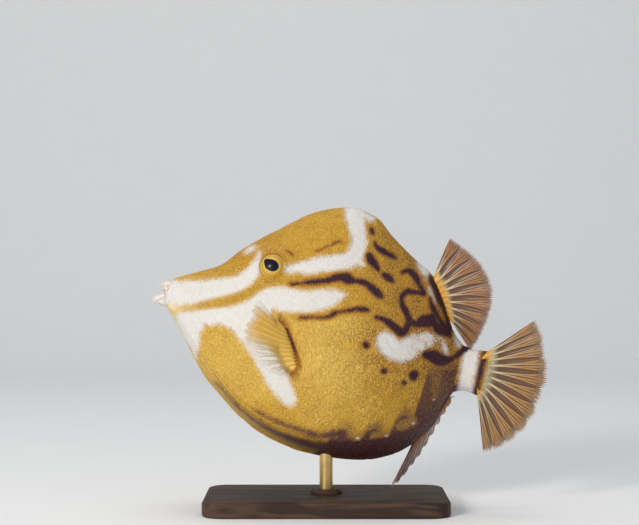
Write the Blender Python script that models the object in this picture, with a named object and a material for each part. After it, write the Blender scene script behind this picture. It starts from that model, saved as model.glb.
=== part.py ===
"""A white-barred boxfish as a still, life-size display model, held by one rod on a flat base.

The fish is drawn in its own frame, in millimetres: x runs back from the lips, z up to the back, and
y to its right, so its left flank is at -y. An empty then pitches it head up and lifts it over the
base, whose underside has the origin at its centre. The carapace is a loft of cross-sections, covered
with a net of six-sided plates. The head, trunk and tail stalk are cut from it. Each fin is a web
stiffened by forked rays, and its root is trimmed to the skin that it grows from.
"""

import math

import bmesh
import bpy
import numpy as np
from mathutils import Matrix, Vector
from mathutils.bvhtree import BVHTree

MM = 0.001
GAP = 0.3

# The pose on the stand.
PITCH = math.radians(13.0)
LIPS_X = -64.2
LIPS_Z = 80.0
TAIL_TURN = math.radians(-12.0)
TAIL_TURN_START = 113.0
TAIL_TURN_END = 124.0

# The loft, a row for each station: its place back from the lips, the heights of the back and belly,
# the greatest half width and its height, the lower ridge's half width and height, and how sharply
# the back closes.
LOFT = (
    (2, 7.4, -1.4, 4.2, 2.5, 3.4, -0.2, 0.50),
    (6, 9.7, -4.2, 6, 2.4, 5, -2, 0.50),
    (13, 13.4, -11.9, 8.6, 1, 7.2, -7.2, 0.52),
    (21, 18, -21.4, 11.6, -1.5, 9.6, -15, 0.55),
    (26, 23.9, -26.3, 13.7, -3, 11.2, -20.4, 0.58),
    (32, 29.8, -30.6, 16, -5, 13, -25.6, 0.60),
    (40, 36.6, -35.7, 18.8, -7, 15.3, -31, 0.64),
    (50, 44.6, -40, 21.8, -8.5, 17.8, -34.8, 0.70),
    (58, 48.5, -42, 23.4, -9, 19, -36.3, 0.74),
    (66, 50.4, -43.2, 24.3, -9.5, 19.6, -36.6, 0.78),
    (74, 48.9, -43.2, 24.3, -9.5, 19.5, -35.9, 0.78),
    (82, 43, -42.5, 23.4, -9, 18.6, -34.3, 0.76),
    (91, 37.2, -40.8, 21.2, -8, 16.4, -31.5, 0.74),
    (100, 32, -36.8, 17.4, -6.5, 13, -28, 0.72),
    (106, 24, -32.4, 13.8, -5, 10.2, -24.2, 0.66),
    (110, 17, -28, 10.8, -3.5, 8, -20.6, 0.60),
    (114, 11.6, -21.5, 7.6, -2, 5.6, -13.5, 0.55),
    (118, 8.7, -9.2, 4.9, 0, 3.4, -6, 0.50),
    (122, 8.3, -8, 4.1, 0, 3, -5.4, 0.50),
    (128, 8.8, -8.7, 3.4, 0, 2.6, -5.8, 0.50),
)
STATIONS, BACK, BELLY, HALF_WIDTH, WIDEST, RIDGE_HALF, RIDGE_Z, BACK_CLOSING = zip(*LOFT)
FLANK_POWER = 1.7
SNOUT_TIP = 1.0
SNOUT_ROUND_END = 6.0
STALK_ROUND_START = 127.6
STALK_TIP = 130.6
MOUTH_Z = 2.6
KEEL_RISE = 1.1
KEEL_SPREAD = 1.9

# The eyes and the raised orbits around them.
EYE_X = 39.8
EYE_Z = 22.4
EYE_RADIUS = 5.8
EYE_DEPTH = 3.5
ORBIT_RISE = 1.5
ORBIT_SPREAD = 6.6
RIM_RADIUS = 5.2
RIM_THICKNESS = 0.75

# The carapace's plates.
NET_FREQUENCY = 6
NET_ROUNDS = 60
NET_STIFFNESS = 0.14
NET_SOFTNESS = 0.2
PLATE_SEAM = 0.62
SEAM_DEPTH = 0.3
POKED_FROM_X = 76.0
SNOUT_PLATE = 3.4
TRUNK_PLATE = 8.0
STALK_PLATE = 3.6

# Where the carapace is divided, in side view.
HEAD_CUT = ((51.0, 62.0), (49.6, 32.0), (48.6, 14.0), (46.8, 3.0), (50.6, -9.0), (55.6, -18.0), (58.0, -52.0))
STALK_CUT_X = 116.4
STALK_END_X = 127.0

# The mouth, the nostrils and the gill slits.
UPPER_LIP = ((0.7, 0.0, 6.3), (3.5, 4.3, 4.1))
LOWER_LIP = ((-0.7, 0.0, -0.6), (3.1, 4.1, 2.0))
LIP_SWEEP = 1.35
LIP_THICKNESS = 1.05
JAW_CENTRE = (2.7, 0.0, -0.4)
JAW_RADII = (3.8, 3.9, 1.9)
MOUTH_CENTRE = (0.6, 0.0, 3.1)
MOUTH_RADII = (3.6, 5.6, 1.8)
UPPER_TOOTH = (9, 2.1, 0.42)
LOWER_TOOTH = (7, 1.6, 0.4)
TOOTH_SWEEP = 1.1
NOSTRIL_X = 28.2
NOSTRIL_Z = 17.8
NOSTRIL_RADIUS = 0.95
GILL_PATH = ((47.6, 5.0), (47.4, 2.0), (48.2, -1.5), (49.4, -5.0), (51.2, -8.5))

# The fins: rays, and for each fin its base, its rays' lengths, and the way they point.
FIN_ROWS = 5
FORK_START = 0.42
RAY_HALF = 0.5
WEB_HALF = 0.26
DORSAL_RAYS = 10
DORSAL_BASE = ((100.9, 30.8), (110.6, 17.2))
DORSAL_ANGLES = (76.0, 55.0, 38.0, 20.0, -2.0, -24.0, -40.0)
DORSAL_LEAN = (-6.0, -10.0, -12.0, -8.0)
DORSAL_CURL = (-0.06, -0.12, -0.1, 0.02)
DORSAL_LENGTHS = (18.5, 20.0, 20.0, 19.0, 16.5, 14.5, 12.5)
ANAL_RAYS = 10
ANAL_BASE = ((108.6, -28.2), (116.6, -12.5))
ANAL_SWEEP = (-64.0, -48.0, -30.0, -12.0, 6.0)
ANAL_SWING = (60.0, 68.0, 76.0, 82.0)
ANAL_LENGTHS = (22.5, 22.5, 20.0, 16.5, 12.0)
PECTORAL_RAYS = 12
PECTORAL_BASE = ((50.1, 0.5), (57.7, -12.7))
LEFT_ANGLES = (143.0, 150.0, 160.0, 170.0, 178.0, 184.0, 200.0, 226.0)
LEFT_SWING = (48.0, 50.0, 48.0, 44.0, 40.0)
LEFT_LENGTHS = (19.0, 21.5, 22.5, 23.0, 23.0, 21.0, 15.0, 7.0)
RIGHT_ANGLES = (128.0, 138.0, 150.0, 162.0, 172.0, 182.0, 200.0, 230.0)
RIGHT_SWING = (62.0, 64.0, 60.0, 56.0, 50.0)
RIGHT_LENGTHS = (19.0, 21.5, 22.5, 23.0, 23.0, 21.0, 15.0, 7.0)
CAUDAL_RAYS = 11
CAUDAL_BASE = (8.0, -8.2)
CAUDAL_ANGLES = (43.0, 33.0, 22.0, 10.0, -2.0, -15.0, -29.0, -43.0, -56.0, -67.0)
CAUDAL_CURL = (-0.10, -0.04, 0.02, 0.03, -0.02, -0.08)
CAUDAL_LENGTHS = (23.0, 23.5, 24.0, 24.0, 24.0, 24.0, 24.5, 24.5, 24.0, 23.0)

# The stand.
BASE_LENGTH = 92.0
BASE_WIDTH = 52.0
BASE_HEIGHT = 6.0
BASE_CORNER = 8.0
BASE_BEVEL = 1.2
ROD_RADIUS = 2.5
ROD_X = 0.0
ROD_TOP_Z = 29.0
ROD_SOCKET_Z = 2.0
COLLAR_RADIUS = 6.0
COLLAR_HEIGHT = 1.8

GOLD = (0.62, 0.36, 0.07)
FIN_TAN = (0.55, 0.38, 0.16)
PALE = (0.80, 0.76, 0.68)
WALNUT = (0.08, 0.045, 0.03)
BRASS = (0.60, 0.44, 0.20)
EYE_GOLD = (0.45, 0.27, 0.06)


def smooth_curve(values, at):
    """The monotone cubic through the loft's stations, at the places asked for."""
    s = np.asarray(STATIONS, float)
    v = np.asarray(values, float)
    rise = np.diff(v) / np.diff(s)
    both = rise[:-1] * rise[1:]
    total = rise[:-1] + rise[1:]
    inner = np.where(both > 0, 2 * both / np.where(both > 0, total, 1), 0)
    slope = np.concatenate([[rise[0]], inner, [rise[-1]]])
    at = np.clip(np.asarray(at, float), s[0], s[-1])
    i = np.clip(np.searchsorted(s, at) - 1, 0, len(s) - 2)
    h = s[i + 1] - s[i]
    t = (at - s[i]) / h
    start = (1 + 2 * t) * (1 - t) ** 2 * v[i] + t * (1 - t) ** 2 * h * slope[i]
    return start + t**2 * (3 - 2 * t) * v[i + 1] - t**2 * (1 - t) * h * slope[i + 1]


def half_section(x, count):
    """Half of the cross-section at x: y outwards and z, evenly spaced from the back to the keel."""
    top, bottom, width = (float(smooth_curve(v, x)) for v in (BACK, BELLY, HALF_WIDTH))
    widest, ridge, ridge_z = (float(smooth_curve(v, x)) for v in (WIDEST, RIDGE_HALF, RIDGE_Z))
    closing = float(smooth_curve(BACK_CLOSING, x))
    s = np.cos(np.linspace(0, math.pi / 2, 90))
    t = np.linspace(0, 1, 30)[1:]
    q = np.linspace(0, 1, 50)[1:]
    y = np.concatenate([
        width * (1 - s**FLANK_POWER) ** closing,
        width - (width - ridge) * t**2,
        ridge * (1 - q**1.25) ** 0.8,
    ])
    z = np.concatenate([
        widest + (top - widest) * s,
        widest + (ridge_z - widest) * t,
        ridge_z + (bottom - ridge_z) * q,
    ])
    along = np.concatenate([[0], np.cumsum(np.hypot(np.diff(y), np.diff(z)))])
    even = np.linspace(0, along[-1], count)
    return np.interp(even, along, y), np.interp(even, along, z)


def turn_tail(points):
    """Swings what lies behind the carapace sideways, in an even bend about an upright axis."""
    share = np.clip((points[..., 0] - TAIL_TURN_START) / (TAIL_TURN_END - TAIL_TURN_START), 0, None)
    bent = np.minimum(share, 1)
    span = TAIL_TURN_END - TAIL_TURN_START
    angle = TAIL_TURN * bent
    radius = span / TAIL_TURN
    straight = np.maximum(share - 1, 0) * span
    behind = share > 0
    centre_x = TAIL_TURN_START + radius * np.sin(angle) + straight * np.cos(angle)
    centre_y = radius * (1 - np.cos(angle)) + straight * np.sin(angle)
    y = points[..., 1]
    out = points.copy()
    out[..., 0] = np.where(behind, centre_x - y * np.sin(angle), points[..., 0])
    out[..., 1] = np.where(behind, centre_y + y * np.cos(angle), y)
    return out


def loft(around=176):
    """The bare body as a grid of points, one closed ring for each station, in the fish's frame."""
    tip = SNOUT_ROUND_END - (SNOUT_ROUND_END - SNOUT_TIP) * np.cos(np.linspace(0.03, math.pi / 2, 14))
    body = np.linspace(SNOUT_ROUND_END, STALK_ROUND_START, 170)
    end = STALK_ROUND_START + (STALK_TIP - STALK_ROUND_START) * np.sin(np.linspace(0, math.pi / 2 - 0.03, 9))
    rows = np.concatenate([tip[:-1], body, end[1:]])
    half = around // 2 + 1
    rings = []
    for x in rows:
        y, z = half_section(x, half)
        both_y, both_z = np.concatenate([-y, y[-2:0:-1]]), np.concatenate([z, z[-2:0:-1]])
        ring = np.stack([np.full(len(both_y), x), both_y, both_z], 1)
        ring[:, 1:] = (np.roll(ring, 1, 0) + 2 * ring + np.roll(ring, -1, 0))[:, 1:] / 4
        keel = KEEL_RISE * np.exp(-((ring[:, 1] / KEEL_SPREAD) ** 2)) * np.clip((x - 30) / 20, 0, 1)
        ring[:, 2] -= np.where(ring[:, 2] < -15, keel, 0) * np.clip((112 - x) / 10, 0, 1)
        closing = 1.0
        if x < SNOUT_ROUND_END:
            closing = math.sqrt(1 - ((SNOUT_ROUND_END - x) / (SNOUT_ROUND_END - SNOUT_TIP)) ** 2)
        elif x > STALK_ROUND_START:
            closing = math.sqrt(1 - ((x - STALK_ROUND_START) / (STALK_TIP - STALK_ROUND_START)) ** 2)
        middle = MOUTH_Z if x < SNOUT_ROUND_END else 0.0
        ring[:, 1] *= closing
        ring[:, 2] = middle + (ring[:, 2] - middle) * closing
        rings.append(ring)
    grid = np.array(rings)
    return raise_orbits(grid)


def raise_orbits(grid):
    """Lifts a low mound around each eye, along the skin's own normals."""
    along = np.gradient(grid, axis=0)
    across = (np.roll(grid, -1, 1) - np.roll(grid, 1, 1)) / 2
    normal = np.cross(across, along)
    normal /= np.linalg.norm(normal, axis=2, keepdims=True) + 1e-12
    apart = np.hypot(grid[..., 0] - EYE_X, grid[..., 2] - EYE_Z)
    rise = ORBIT_RISE * np.exp(-((apart / ORBIT_SPREAD) ** 4))
    return grid + normal * rise[..., None]


def skin_tree(grid):
    """The grid as a triangle mesh that answers which skin point is nearest, with its normal."""
    rows, cols, _ = grid.shape
    points = turn_tail(grid).reshape(-1, 3)
    snout = turn_tail(grid[:1].mean(1))[0]
    stalk = turn_tail(grid[-1:].mean(1))[0]
    faces = []
    for i in range(rows - 1):
        for j in range(cols):
            a, b = i * cols + j, i * cols + (j + 1) % cols
            faces.append((a, b, b + cols, a + cols))
    last = (rows - 1) * cols
    for j in range(cols):
        faces.append((j, rows * cols, (j + 1) % cols))
        faces.append((last + j, last + (j + 1) % cols, rows * cols + 1))
    every = [tuple(p) for p in points] + [tuple(snout), tuple(stalk)]
    return BVHTree.FromPolygons(every, faces)


def on_skin(tree, points, lift=0.0):
    """Each point moved to the nearest place on the skin, then out along its normal by lift."""
    lift = np.broadcast_to(np.asarray(lift, float), (len(points),))
    out = np.empty((len(points), 3))
    for i, p in enumerate(points):
        place, normal, _, _ = tree.find_nearest(Vector(p))
        out[i] = place + normal * lift[i]
    return out


def plate_size(x):
    """The distance between plates' centres at x, before it is scaled to the number of plates."""
    sizes = (SNOUT_PLATE, 4.2, 5.6, TRUNK_PLATE, TRUNK_PLATE, STALK_PLATE, STALK_PLATE)
    return np.interp(x, (0, 18, 36, 56, 104, 118, 130), sizes)


def geodesic():
    """A sphere of triangles from an icosahedron with a corner at each end of its x axis."""
    ring = math.atan(0.5)
    corners = [(-1.0, 0.0, 0.0)]
    for side, start in ((-1, 0.0), (1, math.pi / 5)):
        for k in range(5):
            a = start + 2 * math.pi * k / 5
            across = math.cos(ring)
            corners.append((side * math.sin(ring), -across * math.sin(a), across * math.cos(a)))
    corners.append((1.0, 0.0, 0.0))
    corners = np.array(corners)
    faces = []
    for k in range(5):
        a, b = 1 + k, 1 + (k + 1) % 5
        c, d = 6 + k, 6 + (k + 1) % 5
        faces += [(0, b, a), (a, b, c), (b, d, c), (c, d, 11)]
    n = NET_FREQUENCY
    found, points, triangles = {}, [], []
    for a, b, c in (corners[list(f)] for f in faces):
        index = {}
        for i in range(n + 1):
            for j in range(n + 1 - i):
                p = a + (b - a) * i / n + (c - a) * j / n
                p = p / np.linalg.norm(p)
                key = tuple(np.round(p, 5) + 0.0)
                if key not in found:
                    found[key] = len(points)
                    points.append(p)
                index[i, j] = found[key]
        for i in range(n):
            for j in range(n - i):
                triangles.append((index[i, j], index[i + 1, j], index[i, j + 1]))
                if i + j < n - 1:
                    triangles.append((index[i + 1, j], index[i + 1, j + 1], index[i, j + 1]))
    return np.array(points), np.array(triangles)


def spread_net(grid, tree):
    """The sphere's corners laid over the skin: first by area, then eased by springs to even plates."""
    sphere, triangles = geodesic()
    rows, cols, _ = grid.shape
    length = np.linalg.norm(np.diff(grid, axis=0), axis=2)
    width = np.linalg.norm(np.roll(grid, -1, 1) - grid, axis=2)
    area = (length * (width[1:] + width[:-1]) / 2).sum(1)
    middle_x = (grid[1:, 0, 0] + grid[:-1, 0, 0]) / 2
    share = np.concatenate([[0], np.cumsum(area / plate_size(middle_x) ** 2)])
    row = np.interp((1 + sphere[:, 0]) / 2, share / share[-1], np.arange(rows))
    col = (np.arctan2(-sphere[:, 1], sphere[:, 2]) / (2 * math.pi) % 1) * cols
    i = np.minimum(row.astype(int), rows - 2)
    j = col.astype(int) % cols
    u, v = (row - i)[:, None], (col - np.floor(col))[:, None]
    near = grid[i, j] * (1 - v) + grid[i, (j + 1) % cols] * v
    far = grid[i + 1, j] * (1 - v) + grid[i + 1, (j + 1) % cols] * v
    net = on_skin(tree, turn_tail(near * (1 - u) + far * u))
    ends = np.sort(np.concatenate([triangles[:, [0, 1]], triangles[:, [1, 2]], triangles[:, [2, 0]]]), 1)
    a, b = np.unique(ends, axis=0).T
    for _ in range(NET_ROUNDS):
        between = net[b] - net[a]
        apart = np.linalg.norm(between, axis=1)
        size = plate_size((net[a, 0] + net[b, 0]) / 2)
        stretch = apart / size / math.sqrt(((apart / size) ** 2).mean())
        pull = between * ((1 - 1 / stretch) * np.where(stretch > 1, 1, NET_SOFTNESS))[:, None]
        move = np.zeros_like(net)
        np.add.at(move, a, pull)
        np.add.at(move, b, -pull)
        net = on_skin(tree, net + NET_STIFFNESS * move)
    return net, triangles


def plated_body(grid, tree):
    """The whole carapace as one closed mesh of raised plates parted by sunken seams."""
    net, triangles = spread_net(grid, tree)
    corners = on_skin(tree, net[triangles].mean(1))
    after = [{} for _ in net]
    for t, (a, b, c) in enumerate(triangles):
        after[a][b] = (c, t)
        after[b][c] = (a, t)
        after[c][a] = (b, t)
    bm = bmesh.new()
    verts = [bm.verts.new(p) for p in corners]
    plates = []
    for turn in after:
        ring, step = [], next(iter(turn))
        for _ in turn:
            step, t = turn[step]
            ring.append(verts[t])
        plates.append(bm.faces.new(ring))
    bm.normal_update()
    bmesh.ops.inset_individual(bm, faces=plates, thickness=PLATE_SEAM, use_even_offset=True)
    bmesh.ops.poke(bm, faces=[plate for plate in plates if plate.calc_center_median().x > POKED_FROM_X])
    seam = set(verts)
    for v in bm.verts:
        depth = SEAM_DEPTH * float(np.interp(v.co.x, (20, 50), (0.35, 1))) if v in seam else 0.0
        v.co = Vector(on_skin(tree, [v.co], -depth)[0])
    bmesh.ops.triangulate(bm, faces=bm.faces)
    bmesh.ops.recalc_face_normals(bm, faces=bm.faces)
    return object_from(bm, "body")


def object_from(bm, name):
    """A new object in the scene, from a bmesh in millimetres."""
    mesh = bpy.data.meshes.new(name)
    bm.to_mesh(mesh)
    bm.free()
    obj = bpy.data.objects.new(name, mesh)
    bpy.context.scene.collection.objects.link(obj)
    return obj


def mesh_object(name, points, faces):
    """A new object from points in millimetres and faces, with its faces turned outwards."""
    bm = bmesh.new()
    verts = [bm.verts.new(p) for p in points]
    for face in faces:
        bm.faces.new([verts[i] for i in face])
    bmesh.ops.recalc_face_normals(bm, faces=bm.faces)
    return object_from(bm, name)


def settle(obj):
    """Applies the object's modifiers and keeps its largest closed surface."""
    graph = bpy.context.evaluated_depsgraph_get()
    made = bpy.data.meshes.new_from_object(obj.evaluated_get(graph))
    obj.modifiers.clear()
    obj.data = made
    bm = bmesh.new()
    bm.from_mesh(made)
    left, best, size = set(bm.faces), [], -1.0
    while left:
        stack, island = [left.pop()], []
        while stack:
            face = stack.pop()
            island.append(face)
            fresh = {other for e in face.edges for other in e.link_faces if other in left}
            left.difference_update(fresh)
            stack += fresh
        places = [v.co for face in island for v in face.verts]
        reach = sum(max(p[k] for p in places) - min(p[k] for p in places) for k in range(3))
        if reach > size:
            best, size = island, reach
    keep = set(best)
    bmesh.ops.delete(bm, geom=[face for face in bm.faces if face not in keep], context="FACES")
    bm.to_mesh(made)
    bm.free()
    return obj


def boolean(obj, others, operation):
    """Joins the other objects to this one, or cuts them from it, then removes them."""
    group = bpy.data.collections.new("tools")
    for other in others:
        group.objects.link(other)
    modifier = obj.modifiers.new(operation.lower(), "BOOLEAN")
    modifier.operation = operation
    modifier.solver = "MANIFOLD"
    modifier.operand_type = "COLLECTION"
    modifier.collection = group
    bpy.context.view_layer.update()
    settle(obj)
    bpy.data.collections.remove(group)
    for other in others:
        bpy.data.objects.remove(other)
    return obj


def copy_of(obj, name):
    """A separate copy of the object with a mesh of its own."""
    twin = obj.copy()
    twin.data = obj.data.copy()
    twin.name = name
    bpy.context.scene.collection.objects.link(twin)
    return twin


def swollen(obj, name):
    """A copy pushed out by the gap that touching pieces keep."""
    twin = copy_of(obj, name)
    bm = bmesh.new()
    bm.from_mesh(twin.data)
    bm.normal_update()
    shift = [(v, v.normal * GAP * max(v.calc_shell_factor(), 1.0)) for v in bm.verts]
    for v, step in shift:
        v.co += step
    bm.to_mesh(twin.data)
    bm.free()
    return twin


def side_slab(name, outline, reach=60.0):
    """A block with this outline in side view, right through the fish from side to side."""
    count = len(outline)
    points = [(x, -reach, z) for x, z in outline] + [(x, reach, z) for x, z in outline]
    faces = [tuple(range(count)), tuple(range(2 * count - 1, count - 1, -1))]
    faces += [(i, (i + 1) % count, (i + 1) % count + count, i + count) for i in range(count)]
    return mesh_object(name, points, faces)


def cut_body(body):
    """Divides the plated body into the head, the trunk and the tail stalk, a gap apart."""
    half = GAP / 2
    front = [(x - half, z) for x, z in HEAD_CUT]
    behind_head = [*front, (140, -70), (140, 70)]
    back = [(x + half, z) for x, z in HEAD_CUT]
    before_trunk = [*back, (-20, -70), (-20, 70)]
    stalk_back = [(STALK_CUT_X - half, 60), (150, 60), (150, -60), (STALK_CUT_X - half, -60)]
    stalk_front = [(STALK_CUT_X + half, 60), (-20, 60), (-20, -60), (STALK_CUT_X + half, -60)]
    head = boolean(copy_of(body, "head"), [side_slab("cut", behind_head)], "DIFFERENCE")
    ends = [side_slab("cut", before_trunk), side_slab("cut", stalk_back)]
    trunk = boolean(copy_of(body, "trunk"), ends, "DIFFERENCE")
    ends = [side_slab("cut", stalk_front), end_block()]
    stalk = boolean(copy_of(body, "tail_stalk"), ends, "DIFFERENCE")
    return head, trunk, stalk


def end_block():
    """The block that squares off the tail stalk where the tail fin starts, turned with the tail."""
    sides = (-30.0, 30.0)
    corners = np.array([(x, y, z) for x in (STALK_END_X, 150.0) for y in sides for z in sides])
    faces = [(0, 1, 3, 2), (4, 6, 7, 5), (0, 4, 5, 1), (2, 3, 7, 6), (0, 2, 6, 4), (1, 5, 7, 3)]
    return mesh_object("cut", turn_tail(corners), faces)


def ball(name, radius, centre, squash=(1, 1, 1), segments=20, rings=12):
    """A round solid, stretched along the axes by squash."""
    bm = bmesh.new()
    bmesh.ops.create_uvsphere(bm, u_segments=segments, v_segments=rings, radius=radius)
    bmesh.ops.scale(bm, vec=squash, verts=bm.verts)
    bmesh.ops.translate(bm, vec=centre, verts=bm.verts)
    return object_from(bm, name)


def tube(name, path, radii, sides=8, flatten=1.0):
    """A closed, tapering tube along a path, with a pointed or blunt end by its radii."""
    path = np.asarray(path, float)
    tangents = np.gradient(path, axis=0)
    points, faces = [], []
    for p, t, r in zip(path, tangents, radii):
        t = Vector(t).normalized()
        side = t.cross(Vector((0, 1, 0)))
        side = side.normalized() if side.length > 0.2 else t.cross(Vector((0, 0, 1))).normalized()
        up = t.cross(side)
        for k in range(sides):
            a = 2 * math.pi * k / sides
            points.append(Vector(p) + side * (r * math.cos(a)) + up * (r * flatten * math.sin(a)))
    for i in range(len(path) - 1):
        for k in range(sides):
            a, b = i * sides + k, i * sides + (k + 1) % sides
            faces.append((a, b, b + sides, a + sides))
    faces.append(tuple(range(sides)))
    faces.append(tuple(range((len(path) - 1) * sides, len(path) * sides)))
    return mesh_object(name, points, faces)


def eye_place(tree, side):
    """The skin point over an eye's middle and the way that it looks out, on the side asked for."""
    hit, normal, _, _ = tree.ray_cast(Vector((EYE_X, side * 60, EYE_Z)), Vector((0, -side, 0)))
    return hit, normal


def eyes(tree, head):
    """Both eyeballs, with their sockets sunk in the head and the rims raised around them."""
    balls = []
    rims, sockets = [], []
    for side, name in ((-1, "eye_left"), (1, "eye_right")):
        surface, out = eye_place(tree, side)
        centre = surface - out * EYE_DEPTH
        turn = Vector((0, 0, 1)).rotation_difference(out).to_matrix().to_4x4()
        rim = torus(RIM_RADIUS, RIM_THICKNESS)
        bmesh.ops.transform(rim, matrix=Matrix.Translation(surface - out * 0.3) @ turn, verts=rim.verts)
        rims.append(object_from(rim, "rim"))
        sockets.append(ball("socket", EYE_RADIUS + GAP, centre, segments=16, rings=9))
        balls.append(ball(name, EYE_RADIUS, centre, segments=16, rings=9))
    boolean(head, rims, "UNION")
    boolean(head, sockets, "DIFFERENCE")
    return balls


def torus(ring_radius, thickness, around=18, sides=5):
    """A ring lying flat, as a bmesh spun from a small circle."""
    bm = bmesh.new()
    circle = bmesh.ops.create_circle(bm, segments=sides, radius=thickness)["verts"]
    bmesh.ops.rotate(bm, verts=circle, cent=(0, 0, 0), matrix=Matrix.Rotation(math.pi / 2, 3, "X"))
    bmesh.ops.translate(bm, verts=circle, vec=(ring_radius, 0, 0))
    edges = list(bm.edges)
    turn = {"cent": (0, 0, 0), "axis": (0, 0, 1), "angle": 2 * math.pi}
    bmesh.ops.spin(bm, geom=circle + edges, steps=around, use_merge=True, **turn)
    bmesh.ops.remove_doubles(bm, verts=bm.verts, dist=1e-4)
    bmesh.ops.recalc_face_normals(bm, faces=bm.faces)
    return bm


def cone(place, aim, length, radius, sides=4):
    """A blunt tooth standing at place and pointing along aim."""
    place, aim = Vector(place), Vector(aim).normalized()
    path = [place + aim * (length * f) for f in (-0.6, 0.5, 1.0)]
    return tube("tooth", path, [radius * f for f in (1.1, 0.9, 0.35)], sides)


def lip_line(front, corner, count):
    """Places along a lip from one corner of the mouth round the front to the other."""
    (x0, _, z0), (x1, half, z1) = front, corner
    sweep = np.linspace(-LIP_SWEEP, LIP_SWEEP, count)
    back = (1 - np.cos(sweep)) / (1 - math.cos(LIP_SWEEP))
    side = half * np.sin(sweep) / math.sin(LIP_SWEEP)
    return np.stack([x0 + (x1 - x0) * back, side, z0 + (z1 - z0) * back], 1)


def tooth_row(lip, size, inset, aim):
    """Blunt teeth just behind a lip, each leaning a little outwards."""
    count, length, radius = size
    line = lip_line(*lip, 61)
    sweep = np.linspace(-LIP_SWEEP, LIP_SWEEP, 61)
    teeth = []
    for a in np.linspace(-TOOTH_SWEEP, TOOTH_SWEEP, count):
        x, y, z = (np.interp(a, sweep, line[:, k]) for k in range(3))
        place = (x + inset[0] * math.cos(a), y * inset[1], z + inset[2])
        teeth.append(cone(place, (aim[0], 0.12 * math.sin(a), aim[2]), length, radius))
    return teeth


def mouth(head):
    """The open mouth: lips, teeth and a lower jaw that stands out in front."""
    sweep = np.linspace(-LIP_SWEEP, LIP_SWEEP, 9)
    thickness = LIP_THICKNESS * (0.55 + 0.45 * np.cos(sweep))
    upper, lower = (tube("lip", lip_line(*lip, 9), thickness, 6) for lip in (UPPER_LIP, LOWER_LIP))
    jaw = ball("lower_jaw", 1.0, JAW_CENTRE, JAW_RADII, 15, 9)
    cavity = ball("cavity", 1.0, MOUTH_CENTRE, MOUTH_RADII, 14, 8)
    recess = ball("recess", 1.0, JAW_CENTRE, [r + GAP for r in JAW_RADII], 14, 8)
    lower_room = tube("room", lip_line(*LOWER_LIP, 9), thickness + GAP * 1.2, 6)
    boolean(head, [cavity], "DIFFERENCE")
    boolean(head, [upper], "UNION")
    boolean(head, tooth_row(UPPER_LIP, UPPER_TOOTH, (0.7, 0.9, -0.5), (-0.1, 0, -1)), "UNION")
    boolean(jaw, [lower, *tooth_row(LOWER_LIP, LOWER_TOOTH, (0.75, 0.88, 0.35), (-0.05, 0, 1))], "UNION")
    boolean(head, [recess, lower_room], "DIFFERENCE")
    return jaw


def skin_point(tree, x, z, side):
    """The skin point that shows at (x, z) from one side, with its outward normal."""
    hit, normal, _, _ = tree.ray_cast(Vector((x, side * 60, z)), Vector((0, -side, 0)))
    return hit, normal


def nostrils(tree, head):
    """Small raised rims in front of the eyes, each with a pit."""
    rims, pits = [], []
    for side in (-1, 1):
        place, out = skin_point(tree, NOSTRIL_X, NOSTRIL_Z, side)
        rims.append(ball("rim", NOSTRIL_RADIUS, place - out * 0.25, segments=8, rings=6))
        pits.append(ball("pit", NOSTRIL_RADIUS * 0.6, place + out * 0.62, segments=7, rings=5))
    boolean(head, rims, "UNION")
    boolean(head, pits, "DIFFERENCE")


def gill_slit(tree, side):
    """A curved groove to cut just in front of the pectoral fin's base."""
    path = [skin_point(tree, x, z, side)[0] for x, z in GILL_PATH]
    return tube("gill", path, (0.3, 0.75, 0.85, 0.75, 0.3), 8)


def fan(roots, aims, lengths, bends, u, r):
    """Points at ray number u and share r of its length, with rays' values read between them."""
    count = len(roots)
    where = np.clip(u, -0.99, count - 0.01)

    def read(table):
        table = np.asarray(table, float)
        table = np.concatenate([[2 * table[0] - table[1]], table, [2 * table[-1] - table[-2]]])
        i = np.floor(where + 1).astype(int)
        f = where + 1 - i
        if table.ndim > 1:
            f = f[..., None]
        return table[i] * (1 - f) + table[i + 1] * f

    length = read(lengths)[..., None]
    share = r[..., None]
    return read(roots) + length * (read(aims) * share + read(bends) * np.maximum(share, 0) ** 2)


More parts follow.
